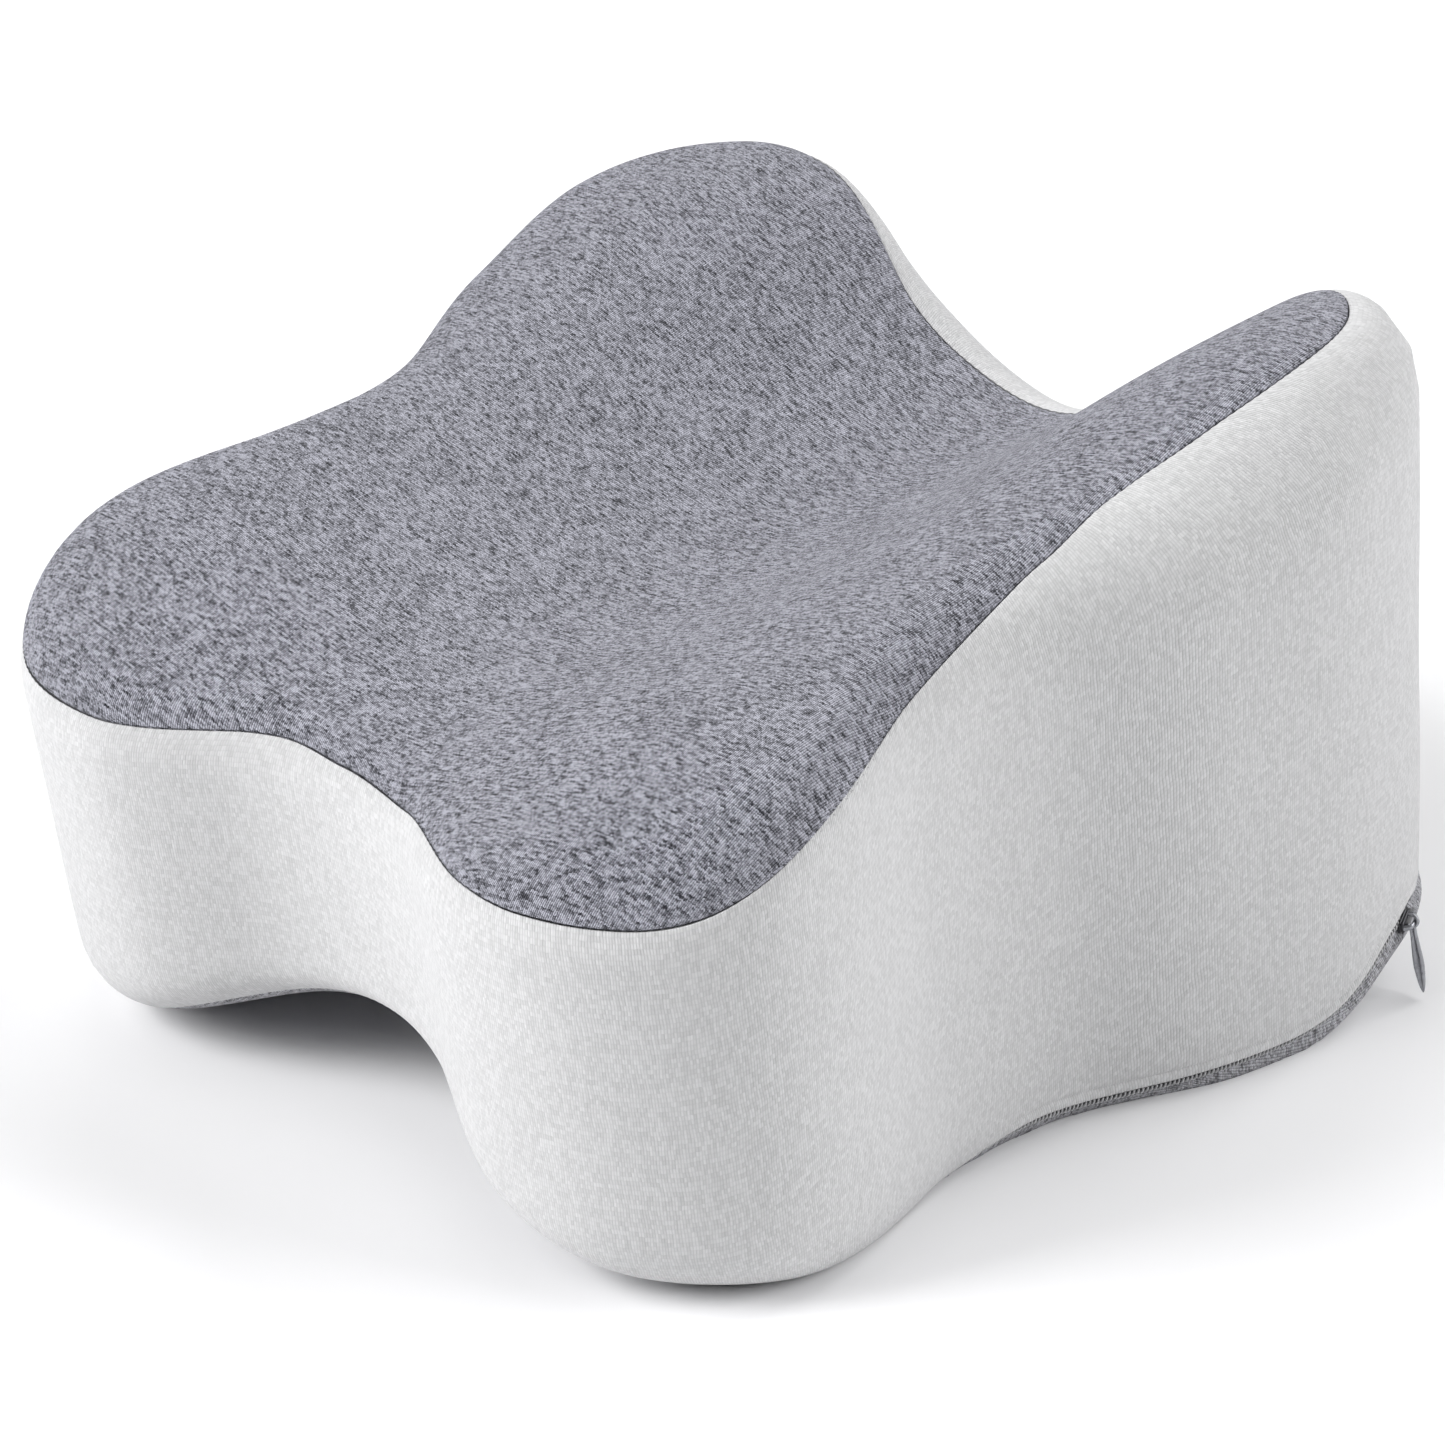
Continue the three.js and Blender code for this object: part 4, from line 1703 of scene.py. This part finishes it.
    def build_puller(self) -> bpy.types.Object:
        """Makes the puller: a ring and a grooved leaf.

        Returns:
            The piece.
        """
        origin, along, outward, _ = self.axes()
        eye = origin + (outward * self.bar_height - np.array([0, 0, self.ring_drop])) * MM
        level = np.array([outward[0], outward[1], 0.0])
        level /= np.linalg.norm(level)
        lean = math.radians(self.lean_deg)
        up = np.array([0, 0, math.cos(lean)]) - level * math.sin(lean)
        face = along - up * (along @ up)
        face /= np.linalg.norm(face)
        axes = np.stack([np.cross(up, face), up, face])
        middle = (self.eye_outer + self.eye_inner) / 2
        thick = (self.eye_outer - self.eye_inner) / 2
        around = np.linspace(0, 2 * np.pi, self.eye_rings, endpoint=False)
        turn = np.linspace(0, 2 * np.pi, self.eye_sides, endpoint=False)
        sections = []
        for t in around:
            radius = middle + thick * np.cos(turn)
            depth = self.eye_half_depth * np.sin(turn)
            parts = [radius * math.cos(t), radius * math.sin(t), depth]
            sections.append(eye + np.stack(parts, axis=1) @ axes * MM)
        ring_mesh = bar_mesh("ring", np.array(sections), closed=True)
        shaft = np.linspace(self.leaf_start, self.leaf_foot - self.shaft_margin, self.shaft_rings)
        tip = self.leaf_foot - np.linspace(*self.tip_reach, self.tip_rings)
        down = np.concatenate([shaft, tip])
        half = self.leaf_half_width(down)
        quarter = np.array(LEAF_QUARTER)
        front = np.concatenate([quarter, quarter[-2::-1] * [-1, 1]])
        profile = np.concatenate([front, front[-2:0:-1] * [1, -1]])
        left = (self.leaf_foot + self.thinning_margin - down) / self.thinning_length
        depth = self.leaf_thickness / 2 * np.clip(left, self.thinnest_share, 1)
        sections = []
        for y, w, z in zip(down, half, depth):
            parts = [profile[:, 0] * w, np.full(len(profile), -y), profile[:, 1] * z]
            sections.append(eye + np.stack(parts, axis=1) @ axes * MM)
        leaf = bar_mesh("leaf", np.array(sections))
        return add_object("puller_leaf", joined("puller_leaf", [ring_mesh, leaf]))


def dress(piece: bpy.types.Object, material: bpy.types.Material) -> None:
    """Gives a piece its material, and makes it ride on the part.

    Args:
        piece: The piece.
        material: Its material.
    """
    piece.data.materials.clear()
    piece.data.materials.append(material)
    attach(piece, BODY)
    log.info("%s: %d faces", piece.name, len(piece.data.polygons))


def way_out(azimuth_deg: float, elevation_deg: float) -> Vector:
    """Direction away from the pillow, with azimuth 0 towards -Y and 90 towards +X.

    Args:
        azimuth_deg: Angle round the pillow.
        elevation_deg: Angle over the floor.

    Returns:
        The direction, of length 1.
    """
    azimuth = math.radians(azimuth_deg)
    elevation = math.radians(elevation_deg)
    level = math.cos(elevation)
    return Vector((math.sin(azimuth) * level, -math.cos(azimuth) * level, math.sin(elevation)))


@dataclass(frozen=True)
class Softbox:
    """Square area light, by its direction from the pillow and its power in watts."""

    name: str
    azimuth_deg: float
    elevation_deg: float
    power: float


SOFTBOXES = (
    Softbox("left softbox", -32, 32, 225),
    Softbox("front softbox", -15, 50, 34),
    Softbox("right softbox", 122, 32, 114),
    Softbox("right back softbox", 165, 50, 80),
    Softbox("back softbox", 225, 50, 30),
)


@dataclass
class Studio:
    """Pale floor, soft lights and the camera."""

    azimuth_deg: float = 45.0
    elevation_deg: float = 24.24
    distance: float = 0.7732
    lens_mm: float = 85.03
    target: tuple[float, float, float] = (-0.0022, 0.002, 0.059)
    aim_pixels: tuple[float, float] = (17.4, 9.3)
    fill: float = 0.05
    light_distance: float = 4.5
    light_side: float = 2.4
    floor_half: float = 3.2
    floor_colour: tuple[float, float, float, float] = (0.92, 0.92, 0.93, 1)
    floor_roughness: float = 0.9
    floor_specular: float = 0.1
    sensor_mm: float = 36.0
    clip: tuple[float, float] = (0.01, 50.0)

    def set_up(self, name: str, data: Any, place: Vector, back: Vector) -> bpy.types.Object:
        """Puts a camera or light at a place, facing away from back.

        Args:
            name: Name of the object.
            data: The camera or light.
            place: Its place, in metres.
            back: Direction that it faces away from.

        Returns:
            The object.
        """
        item = add_object(name, data)
        item.location = place
        item.rotation_euler = (-back).to_track_quat("-Z", "Y").to_euler()
        return item

    def camera(self) -> None:
        """Makes the camera at the photograph's angle."""
        back = way_out(self.azimuth_deg, self.elevation_deg)
        data = bpy.data.cameras.new("camera")
        data.sensor_width = self.sensor_mm
        data.lens = self.lens_mm
        data.shift_x = -self.aim_pixels[0] / PHOTO_SIDE
        data.shift_y = self.aim_pixels[1] / PHOTO_SIDE
        data.clip_start, data.clip_end = self.clip
        place = Vector(self.target) + back * self.distance
        bpy.context.scene.camera = self.set_up("camera", data, place, back)

    def floor(self) -> None:
        """Makes a pale floor."""
        mesh = bpy.data.meshes.new("floor")
        side = self.floor_half
        corners = [(-side, -side, 0), (side, -side, 0), (side, side, 0), (-side, side, 0)]
        mesh.from_pydata(corners, [], [(0, 1, 2, 3)])
        floor = add_object("floor", mesh)
        material, shader, build = new_material("pale floor")
        looks = {
            "Base Color": self.floor_colour,
            "Roughness": self.floor_roughness,
            "Specular IOR Level": self.floor_specular,
        }
        build.fill(shader, looks)
        mesh.materials.append(material)

    def area(self, box: Softbox) -> None:
        """Adds an area light that faces the pillow.

        Args:
            box: The light's direction and power.
        """
        data = bpy.data.lights.new(box.name, "AREA")
        data.shape = "SQUARE"
        data.size = self.light_side
        data.energy = box.power
        back = way_out(box.azimuth_deg, box.elevation_deg)
        self.set_up(box.name, data, back * self.light_distance, back)

    def light(self) -> None:
        """Adds the lights and the colour settings."""
        world = bpy.data.worlds.new("studio")
        bpy.context.scene.world = world
        world.use_nodes = True
        background = world.node_tree.nodes["Background"]
        background.inputs["Color"].default_value = (1, 1, 1, 1)
        build = NodeBuilder(world.node_tree)
        seen = build.add("ShaderNodeLightPath").outputs["Is Camera Ray"]
        strength = build.math("MULTIPLY_ADD", seen, 1.0 - self.fill, self.fill)
        build.fill(background, {"Strength": strength})
        for box in SOFTBOXES:
            self.area(box)
        bpy.context.scene.view_settings.view_transform = "Standard"

    def build(self) -> None:
        """Makes the camera, the floor and the lights."""
        self.camera()
        self.floor()
        self.light()


def write_sizes() -> None:
    """Brings the scene's placements up to date."""
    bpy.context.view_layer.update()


def main() -> None:
    """Builds the pillow's pieces in order."""
    Studio().build()
    form = PillowForm()
    weave = Weave()
    slot = ZipSlot()
    knit = knit_group()
    grey = GREY_KNIT.material(knit)
    white = WHITE_KNIT.material(knit)

    top = TopCover(form, weave).build()
    dress(top, grey)
    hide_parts("top_panel")

    side = SideCover(form, weave, slot).build()
    dress(side, white)
    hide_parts("side_band")

    body = FilledBody(form, weave).build()
    dress(body, LIT_BOTTOM_KNIT.material(knit))
    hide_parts("filled_base")

    zip_chain = ZipChain(form, slot)
    tape = zip_chain.build_tape()
    dress(tape, SHADE_DARK_TAPE.material())
    coil = COIL_PLASTIC.material()
    loops = zip_chain.build_loops(coil)
    dress(loops, coil)
    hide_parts("zip_coil")
    thread = THREAD.material()
    dress(zip_chain.build_lip_stitch(thread), thread)

    fastener = ZipSlider(form)
    metal = PAINTED_METAL.material()
    plates, crown = fastener.build_slider()
    dress(plates, SHADED_PLATE_METAL.material())
    dress(crown, metal)
    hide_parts("zip_slider")
    puller = fastener.build_puller()
    dress(puller, metal)
    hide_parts("zip_puller")
    write_sizes()


if __name__ == "__main__":
    main()
